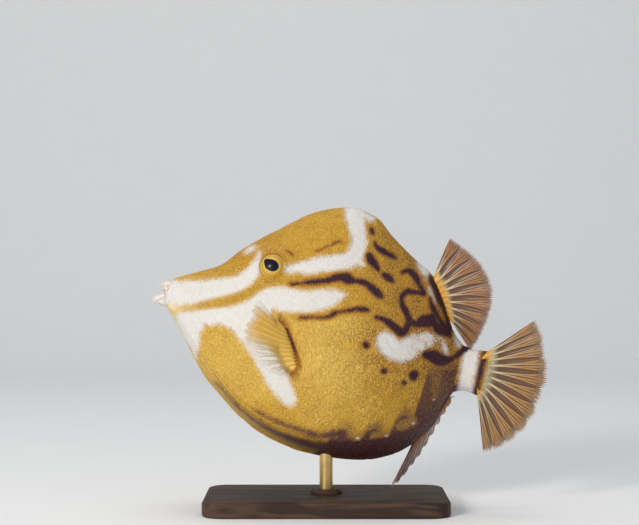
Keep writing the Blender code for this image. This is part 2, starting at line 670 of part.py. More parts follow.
def fin(name, roots, aims, lengths, bends, flesh, reach, depth):
    """A solid fin: forked ridges for its rays on a thin web, thick with flesh by its root.

    Each ray has four columns: its two branches and the web to either side. The root goes depth below
    the skin, and the flesh of half thickness flesh thins out over reach.
    """
    roots, aims, bends = (np.asarray(v, float) for v in (roots, aims, bends))
    aims = aims / np.linalg.norm(aims, axis=1, keepdims=True)
    lengths = np.asarray(lengths, float)
    share = np.concatenate([[-depth / lengths.mean()], np.linspace(0, 1, FIN_ROWS)])
    number = np.arange(len(roots))[:, None]
    forked = np.clip((share - FORK_START) / (1 - FORK_START), 0, 1) ** 0.8
    ahead = fan(roots, aims, lengths, bends, np.full(len(share), len(roots) / 2), share)
    behind = fan(roots, aims, lengths, bends, np.full(len(share), len(roots) / 2 - 1), share)
    pitch = np.maximum(np.linalg.norm(ahead - behind, axis=1), 0.5)
    branch = np.minimum((RAY_HALF * 0.7 + 0.24 * forked * pitch) / pitch, 0.3)
    shoulder = np.minimum(branch + RAY_HALF / pitch, 0.44)
    offsets = np.stack([-shoulder, -branch, branch, shoulder], 1)
    u = (number[:, :, None] + offsets[None]).transpose(1, 0, 2).reshape(len(share), -1)
    notch = np.tile([0.075, 0.0, 0.0, 0.075], len(roots))
    eased = np.clip((share - 0.5) / 0.5, 0, 1) ** 2
    r = share[:, None] * (1 - notch * eased[:, None])
    middle = fan(roots, aims, lengths, bends, u, r)
    down = np.gradient(middle, axis=0)
    across = np.gradient(middle, axis=1)
    normal = np.cross(across, down)
    normal /= np.linalg.norm(normal, axis=2, keepdims=True)
    taper = 1 - 0.45 * np.clip(share, 0, 1) ** 2
    ray = (RAY_HALF * taper)[:, None]
    web = (WEB_HALF * (1 - 0.3 * eased))[:, None]
    thick = np.concatenate([web, ray, ray, web], 1)
    thick = np.tile(thick, (1, len(roots)))
    root_flesh = flesh * np.exp(-((np.maximum(share, 0) * lengths.mean() / reach) ** 2))
    from_edge = np.minimum(u + 0.5, len(roots) - 0.5 - u)
    thick = thick + root_flesh[:, None] * np.minimum(1, 0.35 + from_edge * 0.65)
    return sheet(name, middle, normal * thick[..., None])


def sheet(name, middle, half):
    """A closed solid from a grid of points and half its thickness, cut alike on both faces."""
    rows, cols, _ = middle.shape
    size = rows * cols
    points = np.concatenate([(middle + half).reshape(-1, 3), (middle - half).reshape(-1, 3)])
    faces = []
    for i in range(rows - 1):
        for j in range(cols - 1):
            a = i * cols + j
            b, c, d = a + 1, a + cols + 1, a + cols
            if j % 4 < 2:
                cut = ((a, b, c), (a, c, d))
            else:
                cut = ((a, b, d), (b, c, d))
            for t in cut:
                faces.append(t)
                faces.append(tuple(size + k for k in reversed(t)))
    rim = [(0, j) for j in range(cols)] + [(i, cols - 1) for i in range(1, rows)]
    rim += [(rows - 1, j) for j in range(cols - 2, -1, -1)] + [(i, 0) for i in range(rows - 2, 0, -1)]
    rim = [i * cols + j for i, j in rim]
    for a, b in zip(rim, rim[1:] + rim[:1]):
        faces += [(b, a, size + a), (b, size + a, size + b)]
    return mesh_object(name, points, faces)


def along(start, end, count):
    """Evenly spaced points from start to end."""
    start, end = np.asarray(start, float), np.asarray(end, float)
    return start + (end - start) * np.linspace(0, 1, count)[:, None]


def spread(values, count):
    """The given values read evenly at count places."""
    return np.interp(np.linspace(0, 1, count), np.linspace(0, 1, len(values)), values)


def dorsal_fin():
    """The back fin, fanned from straight up to down along the rump."""
    count = DORSAL_RAYS
    angle = np.radians(spread(DORSAL_ANGLES, count))
    lean = np.radians(spread(DORSAL_LEAN, count))
    aims = np.stack([np.cos(angle) * np.cos(lean), np.sin(lean), np.sin(angle) * np.cos(lean)], 1)
    bends = np.stack([0.06 * np.cos(angle), spread(DORSAL_CURL, count), -0.08 * np.ones(count)], 1)
    (x0, z0), (x1, z1) = DORSAL_BASE
    roots = along((x0, 0, z0), (x1, 0, z1), count)
    return fin("dorsal_fin", roots, aims, spread(DORSAL_LENGTHS, count), bends, 1.3, 5.0, 2.4)


def anal_fin():
    """The fin under the rump, swept down and swung out to the right."""
    count = ANAL_RAYS
    front, rear = (np.array((x, 0.0, z)) for x, z in ANAL_BASE)
    line = (rear - front) / np.linalg.norm(rear - front)
    out = np.array((line[2], 0, -line[0]))
    sweep = np.radians(spread(ANAL_SWEEP, count))[:, None]
    swing = np.radians(spread(ANAL_SWING, count))[:, None]
    aims = line * np.sin(sweep) + np.cos(sweep) * (out * np.cos(swing) + np.array((0, 1, 0)) * np.sin(swing))
    bends = np.stack([np.zeros(count), -0.12 * np.ones(count), -0.05 * np.ones(count)], 1)
    return fin("anal_fin", along(front, rear, count), aims, spread(ANAL_LENGTHS, count), bends, 1.2, 5.0, 2.6)


def pectoral_fin(tree, side, name, angles, swing, lengths):
    """A breast fin, its base just behind the gill slit and its rays swung forward and out."""
    count = PECTORAL_RAYS
    base = along(PECTORAL_BASE[0], PECTORAL_BASE[1], count)
    roots = [np.array(skin_point(tree, x, z, side)[0]) for x, z in base]
    angle = np.radians(spread(angles, count))
    out = np.radians(spread(swing, count))
    aims = np.stack([np.cos(angle) * np.cos(out), side * np.sin(out), np.sin(angle) * np.cos(out)], 1)
    bends = np.stack([-0.05 * np.ones(count), -side * 0.22 * np.sin(out), 0.03 * np.sin(angle)], 1)
    return fin(name, roots, aims, spread(lengths, count), bends, 1.0, 4.0, 2.4)


def caudal_fin():
    """The tail fin, fanned wide behind the stalk and turned with it."""
    count = CAUDAL_RAYS
    x = STALK_END_X
    roots = along((x, 0, CAUDAL_BASE[0]), (x, 0, CAUDAL_BASE[1]), count)
    angle = np.radians(spread(CAUDAL_ANGLES, count))
    aims = np.stack([np.cos(angle), np.zeros(count), np.sin(angle)], 1)
    bends = np.stack([0 * angle, spread(CAUDAL_CURL, count), 0 * angle], 1)
    obj = fin("caudal_fin", roots, aims, spread(CAUDAL_LENGTHS, count), bends, 2.3, 4.6, 3.0)
    points = np.empty(len(obj.data.vertices) * 3, np.float32)
    obj.data.vertices.foreach_get("co", points)
    turned = turn_tail(points.reshape(-1, 3).astype(float))
    obj.data.vertices.foreach_set("co", turned.ravel().astype(np.float32))
    return obj


def stand():
    """The flat base with its collar, and the rod that stands in both the base and the belly."""
    base = slab("stand_base", BASE_LENGTH, BASE_WIDTH, BASE_HEIGHT, BASE_CORNER, BASE_BEVEL)
    foot, top, wide = BASE_HEIGHT - 1, BASE_HEIGHT + COLLAR_HEIGHT, COLLAR_RADIUS
    outline = ((0, foot), (wide, foot), (wide, top - 0.9), (wide - 1.1, top), (0, top))
    collar = turned_solid("collar", outline, ROD_X)
    wide = ROD_RADIUS + GAP
    hole = turned_solid("hole", ((0, ROD_SOCKET_Z), (wide, ROD_SOCKET_Z), (wide, 40), (0, 40)), ROD_X)
    boolean(base, [collar], "UNION")
    boolean(base, [hole], "DIFFERENCE")
    low, high = ROD_SOCKET_Z + GAP, ROD_TOP_Z
    outline = ((0, low), (ROD_RADIUS, low), (ROD_RADIUS, high - 0.6), (ROD_RADIUS - 0.6, high), (0, high))
    return base, turned_solid("stand_rod", outline, ROD_X)


def rod_socket():
    """The round hole in the belly that takes the rod, drawn in the fish's own frame."""
    wide, top = ROD_RADIUS + GAP, ROD_TOP_Z + GAP
    socket = turned_solid("socket", ((0, 0), (wide, 0), (wide, top), (0, top)), ROD_X)
    socket.data.transform(Matrix.Rotation(-PITCH, 4, "Y") @ Matrix.Translation((-LIPS_X, 0, -LIPS_Z)))
    return socket


def turned_solid(name, profile, x, sides=32):
    """A solid turned about an upright axis at x from (radius, height) pairs that start and end on it."""
    points, rings = [], []
    for r, z in profile:
        if r == 0:
            rings.append([len(points)])
            points.append((x, 0, z))
            continue
        rings.append(list(range(len(points), len(points) + sides)))
        turn = [2 * math.pi * k / sides for k in range(sides)]
        points += [(x + r * math.cos(a), r * math.sin(a), z) for a in turn]
    faces = []
    for low, high in zip(rings, rings[1:]):
        for k in range(sides):
            a, b = low[k % len(low)], low[(k + 1) % len(low)]
            c, d = high[(k + 1) % len(high)], high[k % len(high)]
            faces.append(tuple(dict.fromkeys((a, b, c, d))))
    return mesh_object(name, points, faces)


def slab(name, length, width, height, corner, bevel, steps=5):
    """A rounded rectangle with a bevelled upper edge, standing on the ground."""
    def outline(inset):
        r = corner - inset
        loop = []
        for sx, sy, start in ((1, 1, 0), (-1, 1, 1), (-1, -1, 2), (1, -1, 3)):
            for k in range(steps + 1):
                a = math.pi / 2 * (start + k / steps)
                x, y = sx * (length / 2 - corner), sy * (width / 2 - corner)
                loop.append((x + r * math.cos(a), y + r * math.sin(a)))
        return loop
    shoulder = height - bevel
    levels = ((0.6, 0.0), (0.0, 0.6), (0.0, shoulder), (0.35 * bevel, height - 0.3 * bevel), (bevel, height))
    points = [(x, y, z) for inset, z in levels for x, y in outline(inset)]
    n = 4 * (steps + 1)
    faces = [tuple(range(n)), tuple(range((len(levels) - 1) * n, len(levels) * n))]
    for i in range(len(levels) - 1):
        low, high = i * n, (i + 1) * n
        faces += [(low + k, low + (k + 1) % n, high + (k + 1) % n, high + k) for k in range(n)]
    return mesh_object(name, points, faces)


def pose(obj, stands=False):
    """Takes the object from millimetres to metres, and a piece of the fish to its pose as well."""
    matrix = Matrix.Scale(MM, 4)
    if not stands:
        lift = Matrix.Translation((LIPS_X, 0, LIPS_Z))
        matrix = matrix @ lift @ Matrix.Rotation(PITCH, 4, "Y")
    obj.data.transform(matrix)


def paint(obj, colour, roughness=0.5, metallic=0.0):
    """Gives the object a plain material of its own."""
    material = bpy.data.materials.new(obj.name)
    material.use_nodes = True
    shader = material.node_tree.nodes["Principled BSDF"]
    shader.inputs["Base Color"].default_value = (*colour, 1)
    shader.inputs["Roughness"].default_value = roughness
    shader.inputs["Metallic"].default_value = metallic
    obj.data.materials.clear()
    obj.data.materials.append(material)


def main():
    for obj in list(bpy.data.objects):
        bpy.data.objects.remove(obj)
    grid = loft()
    tree = skin_tree(grid)
    body = plated_body(grid, tree)
    head, trunk, stalk = cut_body(body)
    bpy.data.objects.remove(body)
    balls = eyes(tree, head)
    nostrils(tree, head)
    jaw = mouth(head)
    for side in (-1, 1):
        for host in (head, trunk):
            boolean(host, [gill_slit(tree, side)], "DIFFERENCE")
    base, rod = stand()
    boolean(trunk, [rod_socket()], "DIFFERENCE")
    left = pectoral_fin(tree, -1, "pectoral_fin_left", LEFT_ANGLES, LEFT_SWING, LEFT_LENGTHS)
    right = pectoral_fin(tree, 1, "pectoral_fin_right", RIGHT_ANGLES, RIGHT_SWING, RIGHT_LENGTHS)
    fins = [
        (dorsal_fin(), (trunk, stalk)),
        (anal_fin(), (trunk, stalk)),
        (left, (trunk, head)),
        (right, (trunk, head)),
        (caudal_fin(), (stalk,)),
    ]
    for blade, hosts in fins:
        boolean(blade, [swollen(host, "cut") for host in hosts], "DIFFERENCE")
    trunk.name = "torso"
    for obj in (head, trunk, stalk, jaw):
        paint(obj, GOLD, 0.55)
        pose(obj)
    for blade, _ in fins:
        paint(blade, FIN_TAN, 0.4)
        pose(blade)
    for obj in balls:
        paint(obj, EYE_GOLD, 0.15)
        pose(obj)
    paint(base, WALNUT, 0.35)
    paint(rod, BRASS, 0.3, 1.0)
    for obj in (base, rod):
        pose(obj, stands=True)


if __name__ == "__main__":
    main()
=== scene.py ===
"""The looks of the boxfish model: skin, markings, fins, eyes, mouth, the stand's finishes and the studio.

The fish is worked out in its own frame, in millimetres: x runs back from the lips, z up to the back
and y to its right. Every finished mesh is then pitched, lifted over the base and scaled to metres.
"""

import math

import bpy
import numpy as np
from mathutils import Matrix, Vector
from mathutils.bvhtree import BVHTree


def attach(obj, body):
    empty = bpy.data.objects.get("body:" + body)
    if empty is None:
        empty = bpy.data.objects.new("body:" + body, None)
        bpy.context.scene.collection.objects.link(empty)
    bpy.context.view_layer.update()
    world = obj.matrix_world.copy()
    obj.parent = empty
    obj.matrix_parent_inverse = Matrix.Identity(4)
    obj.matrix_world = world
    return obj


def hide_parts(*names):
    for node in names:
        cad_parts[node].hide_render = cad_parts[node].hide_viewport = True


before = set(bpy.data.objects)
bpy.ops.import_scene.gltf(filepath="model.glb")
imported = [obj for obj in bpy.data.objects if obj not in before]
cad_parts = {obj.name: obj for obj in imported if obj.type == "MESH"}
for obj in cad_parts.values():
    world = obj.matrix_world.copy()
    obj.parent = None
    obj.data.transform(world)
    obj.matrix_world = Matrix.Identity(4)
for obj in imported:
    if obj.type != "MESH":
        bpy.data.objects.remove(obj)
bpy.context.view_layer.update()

bl_info = {
    "name": "Boxfish model finish",
    "version": (1, 0, 0),
    "blender": (4, 5, 0),
    "location": "View3D > Sidebar > Boxfish",
    "description": "Dresses the boxfish model on its stand",
    "category": "Object",
}

MM = 0.001

# The pose on the stand.
PITCH = math.radians(13.0)
LIPS_X = -64.2
LIPS_Z = 80.0
TAIL_TURN = math.radians(-12.0)
TAIL_TURN_START = 113.0
TAIL_TURN_END = 124.0

# The loft, a row for each station: its place back from the lips, the heights of the back and belly,
# the greatest half width and its height, the lower ridge's half width and height, and how sharply
# the back closes.
LOFT = (
    (2, 7.4, -1.4, 4.2, 2.5, 3.4, -0.2, 0.50),
    (6, 9.7, -4.2, 6, 2.4, 5, -2, 0.50),
    (13, 13.4, -11.9, 8.6, 1, 7.2, -7.2, 0.52),
    (21, 18, -21.4, 11.6, -1.5, 9.6, -15, 0.55),
    (26, 23.9, -26.3, 13.7, -3, 11.2, -20.4, 0.58),
    (32, 29.8, -30.6, 16, -5, 13, -25.6, 0.60),
    (40, 36.6, -35.7, 18.8, -7, 15.3, -31, 0.64),
    (50, 44.6, -40, 21.8, -8.5, 17.8, -34.8, 0.70),
    (58, 48.5, -42, 23.4, -9, 19, -36.3, 0.74),
    (66, 50.4, -43.2, 24.3, -9.5, 19.6, -36.6, 0.78),
    (74, 48.9, -43.2, 24.3, -9.5, 19.5, -35.9, 0.78),
    (82, 43, -42.5, 23.4, -9, 18.6, -34.3, 0.76),
    (91, 37.2, -40.8, 21.2, -8, 16.4, -31.5, 0.74),
    (100, 32, -36.8, 17.4, -6.5, 13, -28, 0.72),
    (106, 24, -32.4, 13.8, -5, 10.2, -24.2, 0.66),
    (110, 17, -28, 10.8, -3.5, 8, -20.6, 0.60),
    (114, 11.6, -21.5, 7.6, -2, 5.6, -13.5, 0.55),
    (118, 8.7, -9.2, 4.9, 0, 3.4, -6, 0.50),
    (122, 8.3, -8, 4.1, 0, 3, -5.4, 0.50),
    (128, 8.8, -8.7, 3.4, 0, 2.6, -5.8, 0.50),
)
STATIONS, BACK, BELLY, HALF_WIDTH, WIDEST, RIDGE_HALF, RIDGE_Z, BACK_CLOSING = zip(*LOFT)
FLANK_POWER = 1.7
UNDER_POWER = 1.25
UNDER_CLOSING = 0.8
SNOUT_TIP = 1.0
SNOUT_ROUND_END = 6.0
STALK_ROUND_START = 127.6
STALK_TIP = 130.6

# The keel: its rise and spread on the belly, and where it begins and fades out.
KEEL_RISE = 1.1
KEEL_SPREAD = 1.9
KEEL_FRONT = (30, 50)
KEEL_REAR = (112, 102)
KEEL_BELOW = -15

# The skin's grid: its rings at the lips, along the body and at the stalk's end, and the points of a ring.
TIP_RINGS = 40
BODY_RINGS = 198
END_RINGS = 9
SKIN_AROUND = 400

# The plates: their number, the rounds that spread them, the distance between their centres at places
# back from the lips, their height there as a share of the full one, and the width of a seam.
PLATES = 470
PLATE_ROUNDS = 22
PLATE_SIZES = ((0, 3.4), (18, 4.2), (36, 5.6), (56, 8.0), (104, 8.0), (118, 3.6), (130, 3.6))
PLATE_SHARES = ((16, 0.15), (40, 1.0), (118, 1.0), (124, 0.2))
PLATE_RISE = 0.16
SEAM_WIDTH = 0.55

# The eyes, the raised orbits around them, and the teardrop pupils.
EYE_X = 39.8
EYE_Z = 22.4
EYE_RADIUS = 5.8
EYE_DEPTH = 3.5
EYE_RINGS = 76
EYE_AROUND = 96
EYE_COVER = math.radians(128)
CORNEA_RISE = 0.04
CORNEA_SPREAD = 0.62
ORBIT_RISE = 1.5
ORBIT_SPREAD = 6.6
PUPIL_RADIUS = 2.45
PUPIL_STRETCH = 0.30
PUPIL_AXIS = math.radians(165)
PUPIL_POINT = 1.0
PUPIL_POINT_AT = math.radians(152)
PUPIL_POINT_SPREAD = 0.34
# Rings on the skin round an eye, and over it on the brow: height, distance from the eye, and width.
ORBIT_RIDGES = ((0.55, 5.15, 0.50), (-0.32, 6.3, 0.5))
BROW_RIDGES = ((0.50, 8.0, 0.55), (-0.28, 9.0, 0.5))
# The folds over the lower ridge: share of their depth, height over the ridge, and width.
FOLDS = ((1.0, 0.3, 0.35), (0.7, 1.9, 0.3))
FOLD_DEPTH = 0.10

# The mouth: how it is pressed into the skin, the lips' front and corner, and the flesh as egg shapes,
# each with its middle, its radii and its grid.
MOUTH_Z = 2.6
GAPE_Z = 3.1
GAPE_HALF_HEIGHT = 1.7
GAPE_HALF_WIDTH = 2.4
GAPE_DEPTH = 3.0
MOUTH_CORNER_X = 3.0
UPPER_LIP = ((1.5, 0.0, 6.2), (3.7, 4.3, 4.1))
LOWER_LIP = ((-0.3, 0.0, -0.4), (3.1, 4.1, 2.0))
LIP_SWEEP = 1.35
LIP_STEPS = 61
LIP_THICKNESS = 1.05
UPPER_SWELL = 1.2
LOWER_SWELL = 1.45
MUZZLE = (
    ((3.7, 0, 6.1), (3.3, 4.1, 1.9), 30, 44),
    ((4.6, -3.2, 3.9), (2.0, 1.6, 2.6), 24, 36),
    ((4.6, 3.2, 3.9), (2.0, 1.6, 2.6), 24, 36),
)
JAW = (
    ((2.7, 0, -0.4), (3.8, 3.9, 1.9), 40, 56),
    ((3.0, 0, 0.5), (3.0, 4.3, 2.3), 40, 56),
    ((3.1, -3.0, 1.6), (2.1, 1.6, 1.9), 24, 36),
    ((3.1, 3.0, 1.6), (2.1, 1.6, 1.9), 24, 36),
)
# The teeth of each jaw: how many, their length and radius, how they sit in the lip, and which way they point.
UPPER_TEETH = (9, 2.1, 0.42, (0.7, 0.9, -0.5), -1)
LOWER_TEETH = (7, 1.6, 0.4, (0.75, 0.88, 0.35), 1)
TOOTH_SWEEP = 1.1
TOOTH_TAPER = ((-0.5, 1.05), (0.3, 1.0), (0.8, 0.7), (1, 0.25))

# The nostrils: place, the rim's radius, half thickness and height, and the pit's radius.
NOSTRIL_X = 28.2
NOSTRIL_Z = 17.8
NOSTRIL_RADIUS = 0.62
NOSTRIL_WALL = 0.26
NOSTRIL_LIFT = 0.12
NOSTRIL_RISE = 0.30
NOSTRIL_PIT = 0.42

# The fins: rays, and for each fin its base, its rays' lengths, and the way they point.
DORSAL_RAYS = 10
DORSAL_BASE = ((100.9, 30.8), (110.6, 17.2))
DORSAL_ANGLES = (76.0, 55.0, 38.0, 20.0, -2.0, -24.0, -40.0)
DORSAL_LEAN = (-6.0, -10.0, -12.0, -8.0)
DORSAL_CURL = (-0.06, -0.12, -0.1, 0.02)
DORSAL_LENGTHS = (18.5, 20.0, 20.0, 19.0, 16.5, 14.5, 12.5)
ANAL_RAYS = 10
ANAL_BASE = ((108.6, -28.2), (116.6, -12.5))
ANAL_SWEEP = (-64.0, -48.0, -30.0, -12.0, 6.0)
ANAL_SWING = (60.0, 68.0, 76.0, 82.0)
ANAL_LENGTHS = (22.5, 22.5, 20.0, 16.5, 12.0)
PECTORAL_RAYS = 12
PECTORAL_BASE = ((50.1, 0.5), (57.7, -12.7))
PECTORAL_SET = (0.9, 0, -0.3)
PECTORAL_LENGTHS = (19.0, 21.5, 22.5, 23.0, 23.0, 21.0, 15.0, 7.0)
LEFT_ANGLES = (143.0, 150.0, 160.0, 170.0, 178.0, 184.0, 200.0, 226.0)
LEFT_SWING = (48.0, 50.0, 48.0, 44.0, 40.0)
RIGHT_ANGLES = (128.0, 138.0, 150.0, 162.0, 172.0, 182.0, 200.0, 230.0)
RIGHT_SWING = (62.0, 64.0, 60.0, 56.0, 50.0)
CAUDAL_RAYS = 11
CAUDAL_BASE = ((127.0, 8.0), (127.0, -8.2))
CAUDAL_ANGLES = (43.0, 33.0, 22.0, 10.0, -2.0, -15.0, -29.0, -43.0, -56.0, -67.0)
CAUDAL_CURL = (-0.10, -0.04, 0.02, 0.03, -0.02, -0.08)
CAUDAL_LENGTHS = (23.0, 23.5, 24.0, 24.0, 24.0, 24.0, 24.5, 24.5, 24.0, 23.0)
FIN_ROWS = 56
FIN_STEPS = 30
# Each fork of a ray: the share of its length where it begins, how far its branches part as a share of
# the way to the next ray, and the power with which they part.
FORKS = ((0.12, 0.245, 0.6), (0.32, 0.122, 0.7), (0.56, 0.060, 0.8))
WEB_HALF = 0.12
RAY_HALF = 0.30
RIPPLE = 0.10
JOINT_LENGTH = 0.8

# Where the stalk begins for the paint, and the middle and half width of its white and dark bands.
STALK_FROM = 116
WHITE_BAND = (121.4, 2.9)
DARK_BAND = (126.3, 0.6)
# How strongly the dark marks are rimmed with amber, at places back from the lips.
RIMMED = ((60, 0.9), (86, 0.35), (116, 0.35), (118, 0.0))
# The distance that stands for no mark at all.
FAR = 30.0

# The studio: each lamp's name, place, size, power and tint, and the floor that sweeps up behind.
LAMPS = (
    ("key", (-0.62, -0.95, 0.42), 0.30, 10.0, (1.0, 0.97, 0.92)),
    ("fill", (0.95, -0.75, 0.35), 0.9, 1.2, (0.94, 0.97, 1.0)),
    ("top", (-0.05, 0.10, 1.2), 0.9, 4.2, (1.0, 1.0, 1.0)),
)
LAMP_AIM = Vector((0.0, 0.0, 0.08))
SKY_TINT = (0.88, 0.92, 1.0, 1)
SKY_STRENGTH = 0.36
FLOOR_HALF_WIDTH = 1.8
FLOOR_FRONT = -1.6
FLOOR_BACK = 0.75
FLOOR_BEND = 0.5
BACKDROP_TOP = 1.9
FLOOR_COLUMNS = 12
SENSOR_WIDTH = 36.0

# Marks in side view, in the fish's frame: places along and up, and half the width there.
WHITE_MARKS = {
    "lip_stripe": (
        (2.0, 3.5, 4.4), (9.0, 4.2, 4.4), (18.4, 7.7, 3.8), (28.6, 12.3, 3.1), (33.8, 18.2, 2.4),
        (34.4, 25.0, 0.5),
    ),
    "brow_bar": (
        (46.4, 22.2, 1.5), (54.0, 24.9, 2.6), (62.0, 28.2, 2.8), (68.0, 30.9, 3.0), (69.8, 35.0, 2.9),
        (69.3, 39.5, 2.8), (67.4, 43.9, 3.1), (66.0, 49.5, 4.2),
    ),
    "brow_corner": ((69.5, 31.4, 2.0), (72.2, 30.0, 0.9)),
    "bar_flare": ((67.5, 48.6, 2.4), (73.0, 47.6, 0.7)),
    "cheek_stripe": (
        (39.5, 9.5, 3.2), (46.0, 11.0, 4.4), (55.5, 11.9, 3.9), (62.0, 14.5, 3.3), (66.0, 16.4, 2.0),
        (69.2, 18.0, 0.4),
    ),
    "cheek_field": (
        (13.5, -4.4, 2.6), (21.5, -1.8, 3.0), (26.5, -0.4, 3.2), (33.0, 1.0, 4.6), (39.5, 6.5, 4.5),
    ),
    "chin_corner": ((14.5, -5.0, 2.8), (17.8, -6.0, 2.6)),
    "chin_margin": ((12.5, -6.0, 3.4), (16.0, -10.0, 3.4), (18.0, -14.0, 1.9), (19.5, -18.0, 0.6)),
    "breast_bar": (
        (33.8, -1.5, 4.0), (39.3, -6.0, 3.6), (46.3, -12.8, 3.7), (52.6, -19.3, 3.9), (57.4, -23.9, 2.6),
    ),
    "saddle_patch": (
        (87.4, 4.3, 3.4), (89.6, 2.6, 3.6), (94.0, 1.7, 3.5), (97.0, 4.3, 3.9), (100.8, 7.4, 3.0),
        (104.4, 8.8, 2.0),
    ),
    "rump_patch": ((94.2, 35.6, 1.2), (96.2, 33.4, 1.5), (97.8, 31.4, 0.9)),
    "rump_fleck": ((100.0, 26.8, 0.6), (101.0, 24.8, 0.5), (102.3, 22.4, 0.4)),
    "stalk_fleck": ((107.8, 9.2, 0.9), (109.8, 6.4, 1.2), (111.2, 3.8, 0.7)),
    "stalk_top": ((113.4, 12.0, 0.9), (115.6, 8.6, 1.0)),
    "forehead_spot": ((29.3, 24.3, 0.5), (30.6, 26.1, 1.0), (32.0, 27.4, 0.4)),
}
DARK_MARKS = {
    "long_scribble": (
        (48.5, 16.8, 0.35), (55.2, 19.2, 0.6), (61.5, 21.6, 0.85), (65.3, 23.2, 1.2), (68.3, 23.6, 1.7),
        (71.5, 23.4, 1.0), (74.9, 23.6, 1.0), (78.0, 22.4, 1.3), (81.0, 20.7, 1.2), (82.6, 19.9, 0.5),
    ),
    "low_scribble": (
        (54.7, 5.9, 0.2), (63.6, 8.0, 0.45), (67.2, 10.5, 0.5), (71.4, 12.4, 0.5), (75.8, 13.9, 0.8),
        (78.4, 14.2, 0.5),
    ),
    "net_front": (
        (82.2, 12.2, 0.8), (85.1, 12.0, 1.0), (88.6, 10.5, 1.1), (92.1, 8.9, 1.5), (93.8, 10.4, 1.3),
        (94.8, 13.0, 1.3), (97.4, 12.8, 1.1), (99.7, 14.4, 2.0), (102.1, 15.2, 2.3), (103.3, 17.0, 1.3),
    ),
    "net_rear": ((103.6, 15.5, 1.5), (105.8, 12.9, 1.5), (108.5, 12.2, 1.4), (110.5, 11.9, 1.0)),
    "hook": (
        (87.9, 30.4, 0.4), (90.0, 31.7, 0.7), (92.1, 31.2, 1.0), (94.2, 29.0, 1.0), (96.0, 26.8, 0.9),
        (97.5, 24.8, 0.9),
    ),
    "ring": (
        (97.6, 24.6, 0.8), (94.5, 24.3, 0.7), (91.5, 23.8, 0.9), (89.8, 22.0, 1.0), (90.3, 19.2, 1.0),
        (92.4, 16.6, 0.9), (94.3, 13.9, 1.1),
    ),
    "nape_scribble": (
        (75.6, 39.2, 0.3), (76.7, 37.6, 0.8), (79.5, 36.5, 0.8), (82.5, 35.7, 1.0), (84.7, 35.2, 0.4),
    ),
    "nape_dot": ((73.3, 43.6, 0.7), (74.0, 42.4, 0.6)),
    "comma_upper": ((74.6, 33.8, 1.2), (76.1, 31.9, 1.4), (78.0, 30.2, 1.0), (79.3, 29.2, 0.4)),
    "comma_lower": ((81.2, 28.0, 0.9), (83.1, 27.6, 1.3), (84.8, 26.6, 0.8)),
    "brow_dash": (
        (54.6, 30.8, -0.5), (56.9, 32.2, -0.2), (59.6, 34.3, -0.3), (62.2, 36.4, -0.1),
        (64.1, 36.2, -0.5),
    ),
    "eye_dash": ((44.0, 28.4, -0.4), (46.0, 28.1, 0.0), (47.4, 27.5, -0.4)),
    "rump_blotch": (
        (103.6, 2.6, 1.6), (106.7, 2.5, 2.4), (110.4, 2.0, 1.9), (113.9, 3.2, 0.9), (116.9, 6.2, 1.0),
        (119.0, 9.0, 1.2),
    ),
    "fin_shadow": (
        (99.2, 31.0, 0.7), (101.6, 27.8, 1.1), (104.0, 24.6, 1.3), (106.6, 21.4, 1.3), (108.4, 18.4, 1.1),
        (110.4, 14.1, 0.9), (111.6, 11.0, 0.4),
    ),
    "rump_line": (
        (100.4, 23.4, 0.4), (102.0, 20.6, 0.8), (105.2, 16.9, 1.0), (108.0, 14.0, 1.3),
        (109.6, 12.4, 1.2),
    ),
}
SPOTS = {
    "first": ((80.4, 1.5, 1.3),),
    "second": ((89.1, -6.4, 1.2),),
    "third": ((100.4, -5.7, 1.8),),
    "fourth": ((97.5, -9.1, 0.8),),
}
AMBER_MARKS = {
    "under_eye": (
        (7.8, -3.4, 1.2), (11.0, -1.5, 1.4), (18.8, 2.0, 1.7), (25.3, 4.9, 2.0), (31.0, 8.0, 2.0),
        (36.5, 12.5, 1.9), (41.0, 16.5, 1.8),
    ),
    "long_edge": (
        (42.0, 17.3, 1.4), (50.0, 18.0, 1.8), (58.0, 20.4, 1.8), (67.0, 23.4, 2.6), (75.4, 24.0, 2.2),
        (81.5, 20.9, 2.2),
    ),
    "low_edge": ((52.6, 5.6, 1.2), (63.5, 8.3, 1.6), (71.5, 12.3, 1.7), (77.8, 14.0, 1.5)),
}
# The upper edge of the painted shade on the rear flank, along and up, with a tooth by each plate's corner.
SHADE_EDGE = (
    (40, -60), (70, -46), (76, -34.5), (80.5, -32.0), (84.4, -34.0), (86.2, -34.0), (88.5, -29.0),
    (91.5, -26.8), (94, -29.6), (95.2, -31.0), (96.4, -30.4), (97.8, -24.0), (100, -20.5), (102, -21.0),
    (103.6, -22.5), (104.6, -20), (104.8, -13.5), (105.0, -5.0), (109.5, -2.2), (116, 0.5),
)
# Lines of painted shade along the ridge: on it, and above it.
SHADE_LINES = {
    "on_ridge": (
        (30.0, -25.5, 0.2), (40.2, -32.2, 0.5), (48.8, -36.2, 0.9), (57.1, -38.4, 1.4),
        (65.3, -39.6, 2.0), (73.5, -39.6, 2.6), (80.0, -38.6, 4.0),
    ),
    "over_ridge": (
        (46.0, -31.2, 0.2), (54.0, -33.2, 0.5), (62.2, -34.3, 0.8), (69.0, -35.2, 1.2),
        (74.0, -34.2, 1.1), (80.0, -32.0, 1.6),
    ),
}
